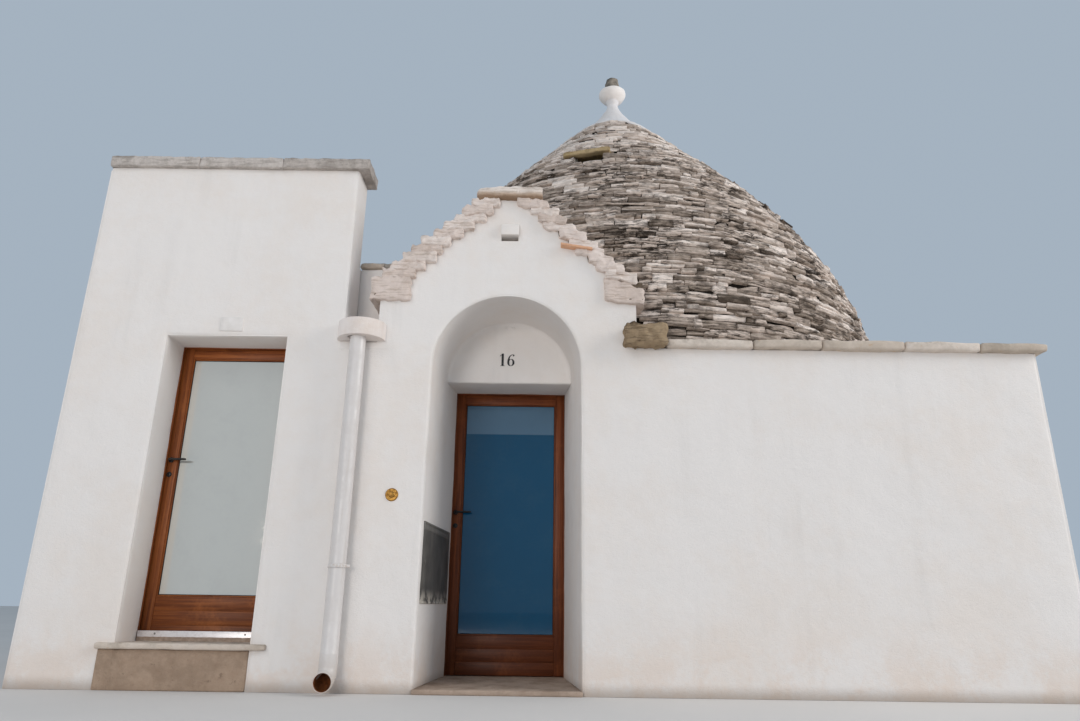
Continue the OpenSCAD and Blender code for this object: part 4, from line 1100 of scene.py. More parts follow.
RIDGE_LEFT, RIDGE_RIGHT = -0.246, 0.232
starts, ends = cut_run(SLAB_FRONT - 0.012, GABLE_T, 0.30, rng, 0.006)
(points, faces), tone = split_stones(at(RIDGE_LEFT, starts, RIDGE_Z0), at(RIDGE_RIGHT, ends, RIDGE_Z1),
                                     95, 0.022, (14, 7, 6), 0.006, 0.08)
points[:, 2] -= 0.030 * np.clip(-points[:, 0] / -RIDGE_LEFT, 0, 1) ** 3
ridge_stone = limestone("ridge_stone", [(0.0, rgb(150, 124, 102)), (0.4, rgb(196, 172, 152)),
                                        (1.0, rgb(236, 224, 214))],
                        rgb(150, 130, 112), 0.4, rgb(204, 172, 142), 0.4, layers=0.8)
# Painted shade and light: the tone runs from dark along the slabs' lower edge to light on their tops.
ridge = mesh_of("ridge_slabs", "slab_stone", (points, faces), material=ridge_stone,
                tone=(points[:, 2] - RIDGE_Z0 - 0.012) * 22)
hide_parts("ridge_course")

# Painted shade: the bed under the slabs is kept dark so that the joints between the slabs read as shade.
bed_stone = limestone("roof_bed", [(0.0, rgb(110, 96, 82)), (1.0, rgb(140, 126, 110))], rgb(90, 78, 66), 0.7,
                      rgb(130, 116, 100), 0.4)
dress("gable_roof_left gable_roof_right", bed_stone)
BED_INSET = -0.034
for name in ("gable_roof_left", "gable_roof_right"):
    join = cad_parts[name].modifiers.new("joined", "WELD")
    join.merge_threshold = 0.00005
    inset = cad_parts[name].modifiers.new("under_the_slabs", "DISPLACE")
    inset.mid_level = 0.0
    inset.strength = BED_INSET

# Terracotta: a broken floor tile wedged into the right verge as packing under a slab.
PACKING_FALL = 0.16
(points, faces), tone = split_stones([[0.366, -0.060, 2.958]], [[0.590, 0.16, 2.976]], 97, 0.004, (10, 8, 3),
                                     0.0025, 0.08)
points[:, 2] -= PACKING_FALL * (points[:, 0] - 0.400)
terracotta = limestone("terracotta", [(0.0, rgb(206, 148, 112)), (1.0, rgb(226, 176, 142))],
                       rgb(176, 140, 116), 0.4, rgb(226, 206, 188), 0.5)
mesh_of("terracotta_packing", "slab_stone", (points, faces), material=terracotta, tone=tone)

# Eaves: flat slabs bedded along the wall tops with their edges past the walls, and the thick spout slab
# in the corner beside the entrance roof, which throws the rain clear of the wall.
rng = np.random.default_rng(101)
low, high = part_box("eaves_slabs")
EAVES_W = 0.30
spout_low, spout_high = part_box("spout_slab")
runs = [slab_row((x0, y0, low.z), (high.x, y1, high.z), axis, length, rng, 0.006)
        for x0, y0, y1, axis, length in (
            (spout_high.x + 0.002, low.y, low.y + EAVES_W, 0, 0.55),
            (high.x - EAVES_W, low.y + EAVES_W + 0.002, high.y - EAVES_W - 0.002, 1, 0.58),
            (low.x, high.y - EAVES_W, high.y, 0, 0.56))]
slabs, tone = split_stones(np.concatenate([a for a, b in runs]), np.concatenate([b for a, b in runs]), 102,
                           0.014, (9, 8, 4), 0.005, 0.12)
eaves = mesh_of("eaves_slab_row", "slab_stone", slabs, tone=tone, material=slab_stone)
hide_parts("eaves_slabs")

slabs, tone = split_stones([spout_low, [GABLE_HALF, -0.01, spout_low.z]],
                           [[spout_high.x, 0.03, spout_high.z - 0.004], spout_high],
                           105, 0.014, (18, 14, 11), 0.014, 0.060)
spout_stone = limestone("spout_stone", [(0.0, rgb(134, 112, 86)), (0.5, rgb(170, 148, 120)),
                                        (1.0, rgb(204, 186, 162))],
                        rgb(86, 70, 54), 0.9, rgb(128, 100, 70), 0.6, pits=0.8, layers=0.9)
spout = mesh_of("rough_spout_slab", "slab_stone", slabs, tone=tone * 0.3 + 0.2, material=spout_stone)
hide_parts("spout_slab")

# Valley: between the entrance roof and the side room a small plastered wall closes the gap over the wall
# top in two steps, and the half-round stone bowl in front of it gathers the rain for the downpipe.


def softened(name, source, material, radius, body="house"):
    """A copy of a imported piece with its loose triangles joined, its flats merged and its edges rounded."""
    shell = bmesh.new()
    shell.from_mesh(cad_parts[source].data)
    bmesh.ops.remove_doubles(shell, verts=shell.verts, dist=0.00005)
    bmesh.ops.dissolve_limit(shell, angle_limit=np.radians(0.5), verts=shell.verts, edges=shell.edges)
    for face in shell.faces:
        face.smooth = True
    mesh = bpy.data.meshes.new(name)
    shell.to_mesh(mesh)
    shell.free()
    mesh.materials.clear()
    mesh.materials.append(material)
    piece = placed(name, mesh)
    bevel = piece.modifiers.new("edges", "BEVEL")
    bevel.width = radius
    bevel.segments = 3
    bevel.limit_method = "ANGLE"
    bevel.angle_limit = np.radians(28)
    bevel.harden_normals = True
    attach(piece, body)
    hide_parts(source)
    return piece


low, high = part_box("valley_wall")
VALLEY_CAP_T = 0.04
STEP_Y, STEP_Z = 0.29, 2.955
BOWL_SHIFT = np.array([-0.022, 0.0, 0.026])
lows = np.array([[low.x, low.y + 0.015, low.z], [low.x, STEP_Y, low.z],
                 [low.x - 0.03, -0.006, EAVES - 0.045]])
highs = np.array([[high.x + 0.004, high.y - 0.015, high.z - VALLEY_CAP_T],
                  [high.x + 0.004, low.y + 0.04, STEP_Z - VALLEY_CAP_T],
                  [high.x + 0.09, STEP_Y + 0.04, EAVES + BOWL_SHIFT[2] + 0.004]])
valley_wall = mesh_of("valley_wall_plaster", "whitewash", spread(*blocks(lows, highs, 0.02, (6, 8, 20))),
                      material=facade_white)
swell(valley_wall, 0.001, (111, 0.25, 0.004))
slabs, tone = split_stones([[low.x, low.y, high.z - VALLEY_CAP_T],
                            [low.x, STEP_Y - 0.015, STEP_Z - VALLEY_CAP_T]],
                           [high, [high.x - 0.06, low.y, STEP_Z]], 112, 0.010, (9, 9, 4), 0.005, 0.07)
mesh_of("valley_wall_cap", "slab_stone", slabs, material=slab_stone, tone=tone)
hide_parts("valley_wall")

bowl_white = whitewash("bowl_limewash", rgb(232, 224, 219), rgb(222, 206, 194), rgb(176, 162, 150), 0.0,
                       rgb(200, 180, 160))
bowl = softened("rain_bowl", "stone_bowl", bowl_white, 0.009)
bowl.data.vertices.foreach_set("co", (places(bowl)[0] + BOWL_SHIFT).astype(np.float32).ravel())

# Downpipe: white enamelled pipe in one length with a collar over the bend, held by an iron clamp that is
# painted over. The bend turns the water out, and rust shows inside its mouth.
PIPE_R, PIPE_T = 0.055, 0.004
pipe_low, pipe_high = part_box("drainpipe")
PIPE_X, PIPE_Y = (pipe_low.x + pipe_high.x) / 2, (pipe_low.y + pipe_high.y) / 2
BEND_R = 0.080
MOUTH_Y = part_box("pipe_elbow")[0].y


def rings(path, radius, side, sides=40):
    """Rings of points at the radius round each point of a path in a plane; side is the plane's normal."""
    ahead = np.gradient(path, axis=0)
    ahead /= np.linalg.norm(ahead, axis=1, keepdims=True)
    across = np.cross(ahead, side)
    a = np.linspace(0, 2 * np.pi, sides, endpoint=False)[:, None]
    radius = np.broadcast_to(radius, len(path))[:, None, None]
    return path[:, None] + radius * (np.asarray(side) * np.cos(a) + across[:, None] * np.sin(a))


def pipe_wall(path, outer, inner, side=(1.0, 0.0, 0.0), sides=40):
    """A pipe as one closed surface: along the outside, round the end and back along the inside."""
    out, back = rings(path, outer, side, sides), rings(path, inner, side, sides)[::-1]
    return grid(np.concatenate([out, back, out[:1]]), ring=True)


def rod(path, radius, side, sides=16):
    """A solid bar along a path, its ends closed by flat faces."""
    ring = rings(path, radius, side, sides)
    points, faces = grid(ring, ring=True)
    first = np.arange(sides)[None, ::-1]
    return [(points, faces), (ring[0], first), (ring[-1], first[:, ::-1])]


def enamel():
    """White enamel with a slight gloss: dust in patches, drips, and rust where the wall of the pipe looks
    back at its own axis."""
    material, tree, shader, place = finish("pipe_enamel", 0.38)
    height = height_of(tree, place)
    dirt = patches(tree, place, 6.0, 0.46, 0.66)
    colour = tint(tree, dirt, 0.3, rgb(214, 209, 206), rgb(198, 190, 184))
    colour = tint(tree, rain_runs(tree, place, 34.0, 0.56, 0.7), 0.2, colour, rgb(176, 160, 142))
    colour = tint(tree, mask(tree, height, 0.26, 0.02), 0.45, colour, rgb(170, 152, 132))
    away = vectors(tree, "SUBTRACT", place, (PIPE_X, PIPE_Y, pipe_low.z - BEND_R))
    far = vectors(tree, "LENGTH", stretched(tree, away, (1, 0, 1)), (0, 0, 0), "Value")
    rust = ramp(tree, noise(tree, place, 60.0), (0.3, rgb(92, 52, 30)), (0.7, rgb(150, 92, 52)))
    inner_face = mask(tree, far, PIPE_R - 0.002, PIPE_R - 0.0035)
    colour = tint(tree, inner_face, mask(tree, height, 0.14, 0.13), colour, rust)
    surface(tree, shader, colour, hand_laid(tree, place, 1.0, 0.06, 0.03), between(tree, dirt, 0.3, 0.62))
    return material


def metal(name, colour, worn, roughness, metallic=0.9, scale=40.0, share=0.6):
    """Metal with a worn or rusty second tone in patches and a roughness that follows them."""
    material, tree, shader, place = finish(name, roughness, Metallic=metallic)
    patch = patches(tree, place, scale, 0.45, 0.62)
    surface(tree, shader, tint(tree, patch, share, colour, worn),
            bump(tree, noise(tree, place, scale * 8), 0.15, 0.0006),
            between(tree, patch, roughness * 0.8, min(1.0, roughness * 1.4)))
    return material


pipe_enamel = enamel()
heights = np.array([0, 0.004, 0.07, 0.074, 0.078, 0.4, 0.8, 1.2, 1.6, 2.0, 2.051, 2.055]) * (
    pipe_high.z + BOWL_SHIFT[2] - pipe_low.z) / 2.055 + pipe_low.z
collar = np.where(heights < pipe_low.z + 0.075, PIPE_R, PIPE_R - 0.002)
path = at(PIPE_X, PIPE_Y, heights)
pipe = mesh_of("downpipe", "pipe_paint", pipe_wall(path, collar, PIPE_R - PIPE_T - 0.002),
               material=pipe_enamel)
bend = np.linspace(0, np.pi / 2, 14)
path = np.concatenate([
    at(PIPE_X, PIPE_Y - BEND_R + BEND_R * np.cos(bend), pipe_low.z - BEND_R * np.sin(bend)),
    at(PIPE_X, np.linspace(PIPE_Y - BEND_R - 0.005, MOUTH_Y, 5), pipe_low.z - BEND_R)])
lip = np.full(len(path), PIPE_R)
lip[-2:] += 0.002
elbow = mesh_of("downpipe_bend", "pipe_paint", pipe_wall(path, lip, PIPE_R - PIPE_T), material=pipe_enamel)
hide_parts("drainpipe")
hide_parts("pipe_elbow")
clamp_paint = metal("clamp_paint", rgb(216, 212, 209), rgb(176, 150, 128), 0.5, 0.0, 60.0, 0.5)
softened("pipe_clamp_band", "pipe_clamp", clamp_paint, 0.0008)

# Doors: glazed timber doors, stained and varnished. Stiles and top rail frame one pane, with wide boards
# below; slim beads and a black gasket hold the glass. Each door stands in a rebated timber frame.
RIM_W, RIM_T, JAMB_W, LEAF_GAP = 0.038, 0.015, 0.030, 0.005
STILE_W, RAIL_W, PANEL_H = 0.068, 0.078, 0.270
BEAD_W, GASKET_W = 0.009, 0.004


def boards(low, high, along, rng, radius=0.0022, cells=(4, 4, 4)):
    """Planed boards between corners with softly rounded edges. The grain place of each point has the
    fibres' direction first, and each board starts at its own place in the log."""
    low, high = np.atleast_2d(low), np.atleast_2d(high)
    points, faces = blocks(low, high, radius, cells)
    order = {"up": [2, 0, 1], "across": [0, 2, 1]}[along]
    place = points[..., order] + rng.uniform(-20, 20, (len(points), 1, 3))
    return spread(points, faces), place.reshape(-1, 3)


def timber(name, pale, middle, dark, gloss):
    """Stained timber under varnish: growth lines drawn out along the fibres, fine pores and a clear coat.
    The stain darkens towards the foot of the door, partly from rain and partly as painted shade."""
    material, tree, shader, place = finish(name, 0.46, Coat_Weight=gloss, Coat_Roughness=0.3,
                                           Specular_IOR_Level=0.18)
    grain = node(tree, "ShaderNodeAttribute", attribute_name="grain").outputs["Vector"]
    wander = node(tree, "ShaderNodeTexNoise", {"Vector": grain, "Scale": 1.6}).outputs["Color"]
    bent = vectors(tree, "ADD", stretched(tree, grain, (0.7, 22.0, 22.0)),
                   stretched(tree, wander, (0.5, 0.5, 0.5)))
    growth = noise(tree, bent, 2.6, 5.0, 0.6)
    colour = ramp(tree, growth, (0.22, dark), (0.50, middle), (0.80, pale))
    # Partly painted shade: the colour darkens towards the foot of the door.
    colour = tint(tree, mask(tree, height_of(tree, place), 1.0, 0.1), 0.55, colour, dark)
    pores = mask(tree, noise(tree, stretched(tree, grain, (9.0, 420.0, 420.0)), 1.0, 2.0), 0.60, 0.70)
    colour = tint(tree, pores, 0.45, colour, dark)
    colour = tint(tree, patches(tree, place, 5.0, 0.50, 0.70), 0.35, colour, pale)
    surface(tree, shader, colour, bump(tree, pores, 0.2, -0.0005, bump(tree, growth, 0.25, 0.001)))
    return material


def door_timber(name, slot, material, rng):
    """Frame of a door: a head and two jambs, each a front rim and a thinner part beside the leaf."""
    low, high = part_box(name + "_frame")
    parts = []
    for y0, y1, inner in ((low.y, low.y + RIM_T, RIM_W), (low.y + RIM_T, high.y, JAMB_W)):
        parts.append(boards([[low.x, y0, low.z], [high.x - inner, y0, low.z]],
                            [[low.x + inner, y1, high.z], [high.x, y1, high.z]], "up", rng, 0.0015))
        parts.append(boards([[low.x + inner, y0, high.z - inner]], [[high.x - inner, y1, high.z]], "across",
                            rng, 0.0015))
    piece = mesh_of(name + "_frame_timber", slot, *(p for p, g in parts), material=material,
                    grain=np.concatenate([g for p, g in parts]))
    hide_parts(name + "_frame")


def leaf_timber(name, body, slot, material, gasket_material, rng):
    """Leaf of a door: stiles the whole height, a top rail, three panel boards with fine joints, a bead all
    round the glass on both faces, and the gasket between bead and glass."""
    low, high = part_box(name + "_leaf")
    glass_low, glass_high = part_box(name + "_glass")
    x0, x1 = low.x + STILE_W, high.x - STILE_W
    top, sill = high.z - RAIL_W, low.z + PANEL_H
    parts = [boards([low, [x1, low.y, low.z]], [[x0, high.y, high.z], high], "up", rng),
             boards([[x0, low.y, top]], [[x1, high.y, high.z]], "across", rng)]
    joints = np.linspace(low.z, sill, 4)
    inset = 0.003
    parts.append(boards(at(x0 + 0.001, low.y + inset, joints[:-1] + 0.0002),
                        at(x1 - 0.001, high.y - inset, joints[1:] - 0.0002), "across", rng, 0.0009))
    for y0, y1 in ((low.y + 0.004, glass_low.y), (glass_high.y, high.y - 0.004)):
        parts.append(boards([[x0, y0, sill], [x1 - BEAD_W, y0, sill]],
                            [[x0 + BEAD_W, y1, top], [x1, y1, top]], "up", rng, 0.002))
        parts.append(boards([[x0 + BEAD_W, y0, sill], [x0 + BEAD_W, y0, top - BEAD_W]],
                            [[x1 - BEAD_W, y1, sill + BEAD_W], [x1 - BEAD_W, y1, top]], "across", rng, 0.002))
    piece = mesh_of(name + "_leaf_timber", slot, *(p for p, g in parts), material=material, body=body,
                    grain=np.concatenate([g for p, g in parts]))
    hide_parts(name + "_leaf")
    a, b = x0 + BEAD_W, x1 - BEAD_W
    c, d = sill + BEAD_W, top - BEAD_W
    lows, highs = [], []
    gap, outer = 0.0002, 0.003
    for y0, y1 in ((glass_low.y - outer, glass_low.y - gap), (glass_high.y + gap, glass_high.y + outer)):
        lows += [[a, y0, c], [b - GASKET_W, y0, c], [a + GASKET_W, y0, c], [a + GASKET_W, y0, d - GASKET_W]]
        highs += [[a + GASKET_W, y1, d], [b, y1, d], [b - GASKET_W, y1, c + GASKET_W], [b - GASKET_W, y1, d]]
    mesh_of(name + "_gasket", "black_metal", spread(*blocks(lows, highs, 0.0008, (3, 3, 3))),
            material=gasket_material, body=body)


def rubber():
    material, tree, shader, place = finish("black_rubber", 0.7, Specular_IOR_Level=0.3)
    dust = patches(tree, place, 30.0, 0.45, 0.65)
    surface(tree, shader, tint(tree, dust, 0.5, rgb(24, 24, 25), rgb(66, 62, 58)))
    return material


def pane(name, colour, band, reflection_band_z, film_colour, metallic, clear):
    """Coated glass, clean enough to mirror the street: a body tint, another tint from the band's height up,
    and a faint film of dust in patches. Both tints are partly painted reflection of what the glass faces."""
    material, tree, shader, place = finish(name, 0.03, IOR=1.5, Transmission_Weight=clear, Metallic=metallic)
    in_reflection_band = mask(tree, height_of(tree, place), reflection_band_z - 0.004, reflection_band_z + 0.004)
    film = patches(tree, place, 4.0, 0.45, 0.7)
    surface(tree, shader, tint(tree, film, 0.12, tint(tree, in_reflection_band, 1.0, colour, band), film_colour),
            roughness=between(tree, film, 0.02, 0.07))
    return material


rng = np.random.default_rng(121)
dark_timber = timber("dark_stained_timber", rgb(150, 84, 46), rgb(112, 57, 29), rgb(60, 27, 12), 0.05)
light_timber = timber("light_stained_timber", rgb(178, 106, 54), rgb(138, 74, 34), rgb(64, 29, 12), 0.05)
gasket_rubber = rubber()
# Painted reflection: the entrance pane's navy tint stands partly for the sky it mirrors and its paler band
# from 1.806 up for the niche's vault; the side pane's pale grey stands for the bright street it mirrors.
navy_pane = pane("entrance_pane", rgb(2, 96, 140), rgb(112, 150, 180), 1.806, rgb(84, 124, 150), 0.0, 0.45)
grey_pane = pane("side_pane", rgb(222, 220, 212), rgb(222, 220, 212), 3.0, rgb(176, 176, 172), 0.45, 0.05)
for name, body, slot, wood, glass in (("door", "entrance_door", "dark_timber", dark_timber, navy_pane),
                                      ("side_door", "side_door", "light_timber", light_timber, grey_pane)):
    door_timber(name, slot, wood, rng)
    leaf_timber(name, body, slot, wood, gasket_rubber, rng)
    dress(name + "_glass", glass)

# Door furniture: black lever handles on round roses with a keyhole plate below, the same inside and
# outside, and plain steel butt hinges on the inner faces.
ROSE_R, ROSE_T, LEVER_R, LEVER_L, LEVER_OUT = 0.018, 0.008, 0.0085, 0.118, 0.041
KEYHOLE_DROP, PLATE_T = 0.100, 0.006
CORE_R = 0.0002


def lathe(profile, centre, sides=32, forward=-1):
    """A turned piece whose axis runs out of a wall: (radius, distance) points carried round the axis, with
    distance counted from the wall towards the front, or towards the back where forward is +1. Profiles
    start and end at the core radius."""
    a = np.linspace(0, 2 * np.pi, sides, endpoint=False)
    r, out = np.array(profile)[:, :1], np.array(profile)[:, 1:]
    x = r * np.cos(a) * (1 if forward < 0 else -1)
    return grid(at(centre[0] + x, centre[1] + forward * out, centre[2] + r * np.sin(a)), ring=True)


def lever_set(centre, face, forward):
    """Rose, lever and keyhole plate on one face of a leaf. The lever's bar leaves the rose square to the
    leaf, bends in a quarter arc and runs on level, thinning to its rounded end."""
    x, z = centre[0], centre[2]
    rose, plate = (lathe([(CORE_R, 0.0), (ROSE_R, 0.0), (ROSE_R, thick - 0.002), (ROSE_R - 0.002, thick),
                          (CORE_R, thick)], (x, face, z - drop), 36, forward)
                   for thick, drop in ((ROSE_T, 0), (PLATE_T, KEYHOLE_DROP)))
    bend = 0.012
    a = np.linspace(0, np.pi / 2, 8)
    out = np.concatenate([[0.002, 0.012, LEVER_OUT - bend - 0.002], LEVER_OUT - bend + bend * np.sin(a),
                          np.full(8, LEVER_OUT)])
    run = np.concatenate([[0, 0, 0], bend - bend * np.cos(a), np.linspace(bend + 0.01, LEVER_L, 8)])
    path = at(x + run, face + forward * out, z)
    radius = np.full(len(run), LEVER_R)
    radius[-8:] = LEVER_R * np.array([1, 1, 0.98, 0.96, 0.94, 0.92, 0.88, 0.62])
    return [rose, *rod(path, radius, (0.0, 0.0, 1.0), 16), plate]


def handle(name, body, height, material):
    """Handles of one door at the left stile, both faces, and the slots of their keyholes."""
    leaf_low, leaf_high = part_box(name + "_leaf")
    frame_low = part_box(name + "_frame")[0]
    x = frame_low.x + RIM_W + LEAF_GAP + ROSE_R
    parts = lever_set((x, 0, height), leaf_low.y, -1) + lever_set((x, 0, height), leaf_high.y, 1)
    piece = mesh_of(name + "_lever_set", "black_metal", *parts, material=material, body=body)
    weld(piece, 0.0006)
    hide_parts(name + "_handle")
    hole = []
    for face, forward in ((leaf_low.y, -1), (leaf_high.y, 1)):
        centre = (x, face + forward * 0.0055, height - KEYHOLE_DROP)
        hole.append(lathe([(CORE_R, 0), (0.0042, 0), (0.0042, 0.0012), (CORE_R, 0.0012)],
                          (centre[0], centre[1], centre[2] + 0.003), 20, forward))
        y0, y1 = sorted((centre[1], centre[1] + forward * 0.0011))
        hole.append(spread(*blocks([[x - 0.0018, y0, centre[2] - 0.008]],
                                   [[x + 0.0018, y1, centre[2] + 0.003]], 0.0003, (3, 3, 3))))
    mesh_of(name + "_keyholes", "black_metal", *hole, material=gasket_rubber, body=body)


black_metal = metal("black_lacquered_metal", rgb(34, 33, 34), rgb(58, 54, 50), 0.38, 0.4)
handle("door", "entrance_door", 1.190, black_metal)
handle("side_door", "side_door", 1.442, black_metal)
hinge_steel = metal("hinge_steel", rgb(120, 118, 114), rgb(96, 84, 72), 0.4, 0.9)
dress("door_hinges side_door_hinges hinge_pins", hinge_steel)

# Sill bar: a bright rolled metal bar screwed across the foot of the side door's frame, its lower part
# caked with lime and dust from the step.
sill_low, sill_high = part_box("side_sill_bar")


def sill_metal():
    """Bright metal above, dull lime below, parted by an uneven line."""
    material, tree, shader, place = finish("bright_sill_metal", 0.35)
    height = plus(tree, height_of(tree, place), times(tree, noise(tree, place, 30.0), 0.006))
    split = sill_low.z + 0.003 + 0.42 * (sill_high.z - sill_low.z)
    bright = mask(tree, height, split - 0.001, split + 0.001)
    steel = tint(tree, patches(tree, place, 20.0, 0.45, 0.62), 0.4, rgb(232, 228, 228), rgb(188, 178, 176))
    lime = ramp(tree, noise(tree, place, 40.0), (0.3, rgb(142, 122, 106)), (0.7, rgb(176, 156, 140)))
    surface(tree, shader, tint(tree, bright, 1.0, lime, steel), roughness=between(tree, bright, 0.9, 0.32))
    tree.links.new(times(tree, bright, 0.35), shader["Metallic"])
    return material


softened("sill_bar", "side_sill_bar", sill_metal(), 0.002)
SCREW_R = 0.006
screw = [(CORE_R, 0), (SCREW_R, 0), (SCREW_R * 0.9, 0.0022), (SCREW_R * 0.5, 0.0034), (CORE_R, 0.0038)]
screw_z = sill_low.z * 0.28 + sill_high.z * 0.72
heads = [lathe(screw, (sill_low.x + (sill_high.x - sill_low.x) * share, sill_low.y + 0.0002, screw_z), 20)
         for share in (0.14, 0.86)]
mesh_of("sill_screws", "steel", *heads, material=hinge_steel)

# Meter door: a painted sheet-metal door on the niche's left jamb over the water and power meters, with a
# folded edge, a paler strip along the top and white rust along the foot.
meter_low, meter_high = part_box("meter_door")
METER_FRONT, METER_BACK, METER_T = 0.050, 0.061, 0.012
splay = np.arctan((MOUTH_HALF - DOOR_HALF) / DOOR_Y)


def on_left_jamb(points):
    """Turns places along the jamb (out of it, along it, up) into the frame: the jamb starts at the niche's
    mouth and leans in by the splay."""
    x = -MOUTH_HALF + points[..., 0] * np.cos(splay) + points[..., 1] * np.sin(splay)
    y = points[..., 1] * np.cos(splay) - points[..., 0] * np.sin(splay)
    return at(x, y, points[..., 2])


def on_jamb(low, high, radius, cells):
    points, faces = blocks(low, high, radius, cells)
    return spread(on_left_jamb(points), faces)


m0, m1 = METER_FRONT, DOOR_Y - METER_BACK
z0, z1 = meter_low.z, meter_high.z
FOLD = 0.014
LIFT, LOCK_HALF = 0.001, 0.012
lock_y, lock_z = m0 + 0.062, (z0 + z1) / 2
panel = on_jamb([[LIFT, m0 + 0.002, z0 + 0.002]], [[METER_T - 0.004, m1 - 0.002, z1 - 0.002]], 0.001,
                (3, 8, 8))
folds = on_jamb([[LIFT, m0, z0], [LIFT, m1 - FOLD, z0], [LIFT, m0 + FOLD, z0], [LIFT, m0 + FOLD, z1 - FOLD]],
                [[METER_T, m0 + FOLD, z1], [METER_T, m1, z1], [METER_T, m1 - FOLD, z0 + FOLD],
                 [METER_T, m1 - FOLD, z1]], 0.002, (3, 4, 4))
strip = on_jamb([[LIFT, m0 + 0.02, z1 - 0.052]], [[METER_T - 0.0015, m1 - 0.02, z1 - 0.020]], 0.0015,
                (3, 6, 3))
lock = on_jamb([[0.004, lock_y - LOCK_HALF, lock_z - LOCK_HALF]],
               [[METER_T + 0.002, lock_y + LOCK_HALF, lock_z + LOCK_HALF]], 0.002, (4, 4, 4))


def painted_sheet():
    """Grey paint on sheet metal, chalked in patches, with drips and white rust near the foot."""
    material, tree, shader, place = finish("grey_painted_sheet", 0.62, Metallic=0.1)
    height = height_of(tree, place)
    colour = ramp(tree, noise(tree, place, 7.0, 5.0), (0.3, rgb(78, 75, 71)), (0.7, rgb(104, 100, 95)))
    colour = tint(tree, rain_runs(tree, place, 26.0, 0.5, 0.66), 0.5, colour, rgb(142, 136, 128))
    crust = patches(tree, place, 14.0, 0.40, 0.54)
    colour = tint(tree, mask(tree, height, z0 + 0.10, z0), crust, colour, rgb(206, 198, 186))
    colour = tint(tree, mask(tree, height, z1 - 0.055, z1 - 0.050), 0.35, colour, rgb(150, 146, 140))
    surface(tree, shader, colour, hand_laid(tree, place, 1.6, 0.10, 0.10))
    return material


meter = mesh_of("meter_sheet_door", "grey_metal", panel, folds, strip, lock, material=painted_sheet())
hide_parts("meter_door")

# Small wall fittings: the brass bell push, the vent's plastered hood, a bare glazed number tile over the
# side door, and the painted house number on the tympanum, here a plain one of the builder's own.
bell_low, bell_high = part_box("bell_push")
bell_x, bell_z = (bell_low.x + bell_high.x) / 2, (bell_low.z + bell_high.z) / 2
BELL_R = (bell_high.x - bell_low.x) / 2
profile = [(CORE_R, 0.002), (BELL_R, 0.002), (BELL_R, 0.0085), (BELL_R * 0.94, 0.0115),
           (BELL_R * 0.72, 0.0125), (BELL_R * 0.60, 0.0100), (BELL_R * 0.46, 0.0100), (BELL_R * 0.44, 0.0160),
           (BELL_R * 0.34, 0.0185), (CORE_R, 0.0192)]
brass = metal("aged_brass", rgb(176, 132, 66), rgb(110, 76, 42), 0.48, 0.9, 55.0, 0.5)
bell = mesh_of("brass_bell_push", "brass", lathe(profile, (bell_x, 0.0, bell_z), 56), material=brass)
weld(bell, 0.0005)
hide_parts("bell_push")

softened("vent_hood_plaster", "gable_vent", facade_white, 0.006)

PLATE_LOW, PLATE_HIGH = (-1.990, -0.0105, 2.294), (-1.831, -0.001, 2.397)


def glaze():
    material, tree, shader, place = finish("tile_glaze", 0.55)
    cloud = noise(tree, place, 18.0, 4.0)
    surface(tree, shader, ramp(tree, cloud, (0.3, rgb(220, 214, 209)), (0.7, rgb(231, 226, 222))),
            bump(tree, noise(tree, place, 60.0), 0.1, 0.001))
    return material


mesh_of("bare_number_tile", "whitewash", spread(*blocks([PLATE_LOW], [PLATE_HIGH], 0.003, (8, 4, 6))),
        material=glaze())

NUMBER_H = 0.098
NUMBER_X, NUMBER_Z = -0.022, 2.241
PAINT_T = 0.0012


def stroke(centre, half):
    """A flat band of paint: the points half a width to each side of a centre line drawn across and up."""
    centre = np.array(centre, float)
    along = np.gradient(centre, axis=0)
    along /= np.linalg.norm(along, axis=1, keepdims=True)
    beside = at(-along[:, 1], along[:, 0]) * np.broadcast_to(half, len(centre))[:, None]
    across = np.linspace(-1, 1, 3)[:, None]
    return centre[:, None] - beside[:, None] * across


def on_tympanum(flat):
    """Lays a drawing on the tympanum: across and up become x and z, and the depth follows the plaster's own
    lift and relief, one coat of paint in front of it."""
    x, z = NUMBER_X + flat[..., 0] * NUMBER_H, NUMBER_Z + flat[..., 1] * NUMBER_H
    base = at(x, TYMPANUM_Y, z)
    base[..., 1] -= COAT_LIFT + sum(relief(base, *settings) for settings in COAT_RELIEF) + PAINT_T
    return base


def number_paint():
    material, tree, shader, place = finish("number_paint", 0.6)
    worn = patches(tree, place, 60.0, 0.56, 0.70)
    surface(tree, shader, tint(tree, worn, 0.5, rgb(30, 30, 34), rgb(120, 116, 112)))
    return material


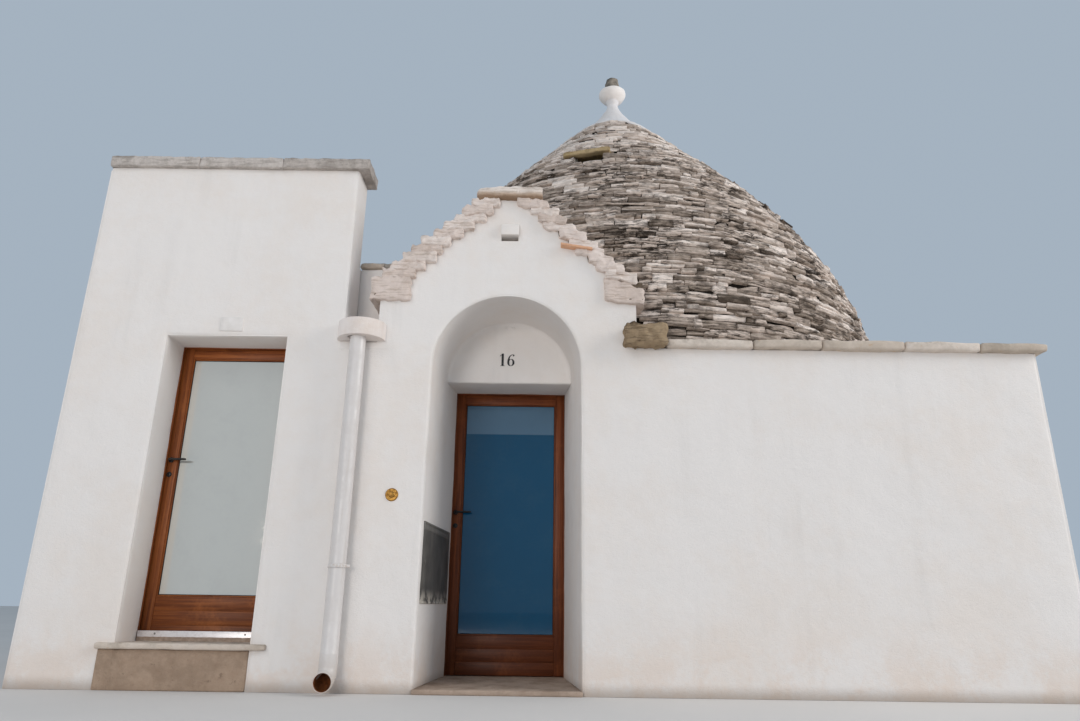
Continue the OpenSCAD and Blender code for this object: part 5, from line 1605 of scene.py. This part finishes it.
t = np.linspace(0, 1, 17)
ring = 2 * np.pi * np.linspace(0, 1, 41)
one = [stroke(at(-0.34, t), 0.085), stroke(at(-0.53 + 0.38 * t, 0.012), 0.013),
       stroke(at(-0.56 + 0.16 * t, 0.80 + 0.15 * t ** 1.5), 0.018)]
six = [stroke(at(0.30 + 0.20 * np.cos(ring), 0.29 + 0.27 * np.sin(ring)),
              0.016 + 0.062 * np.abs(np.cos(ring)) ** 1.5),
       stroke(at(0.52 - 0.42 * np.sin(np.pi / 2 * t), 0.92 - 0.60 * t ** 1.6 + 0.07 * np.sin(np.pi * t)),
              0.014 + 0.066 * t ** 1.4)]
spot = np.linspace(0.02, 1, 5)[:, None]
round_end = 2 * np.pi * np.linspace(0, 1, 25)
drop = at(0.50 + 0.065 * spot * np.cos(round_end), 0.86 + 0.065 * spot * np.sin(round_end))
number = mesh_of("painted_house_number", "black_metal",
                 *(grid(on_tympanum(part.swapaxes(0, 1))) for part in one + six + [drop.swapaxes(0, 1)]),
                 material=number_paint())
thicken(number, PAINT_T)

# Setting: a plain pale floor, soft lights from the upper left, from the right and, warm as off a sunny
# wall, from low in front, under an even pale blue sky.
FLOOR_HALF = 60.0
floor = bpy.data.meshes.new("floor")
floor.from_pydata([(FLOOR_HALF * x, FLOOR_HALF * y, 0) for x, y in ((-1, -1), (1, -1), (1, 1), (-1, 1))], [],
                  [(0, 1, 2, 3)])
floor_piece = placed("floor", floor)
floor_finish, tree, shader, place = finish("pale_floor", 0.9)
surface(tree, shader, ramp(tree, noise(tree, place, 0.6), (0.3, rgb(208, 204, 200)),
                           (0.7, rgb(214, 210, 206))))
floor.materials.append(floor_finish)


def soft_light(name, place, aim, size, power, colour):
    """A square area light at a place, turned so that its face looks at the aim."""
    lamp = bpy.data.lights.new(name, "AREA")
    lamp.shape = "SQUARE"
    lamp.size = size
    lamp.energy = power
    lamp.color = colour
    back = np.array(place, float) - np.array(aim, float)
    back /= np.linalg.norm(back)
    side = np.cross([0, 0, 1], back)
    side /= np.linalg.norm(side)
    placed(name, lamp, side, np.cross(back, side), back, place)


soft_light("key", (-9.0, -12.0, 11.0), (0.3, 1.0, 2.2), 7.0, 420.0, (1.0, 0.975, 0.95))
soft_light("fill", (13.0, -3.0, 7.0), (0.3, 1.5, 2.5), 7.0, 1050.0, (1.0, 0.97, 0.94))
soft_light("front", (-3.8, -11.0, 2.6), (0.0, 0.0, 2.0), 3.2, 300.0, (1.0, 0.93, 0.87))
sky = bpy.data.worlds.new("sky")
sky.use_nodes = True
sky.node_tree.nodes["Background"].inputs["Color"].default_value = rgb(196, 212, 228)
sky.node_tree.nodes["Background"].inputs["Strength"].default_value = 0.68
bpy.context.scene.world = sky
bpy.context.scene.view_settings.view_transform = "Standard"
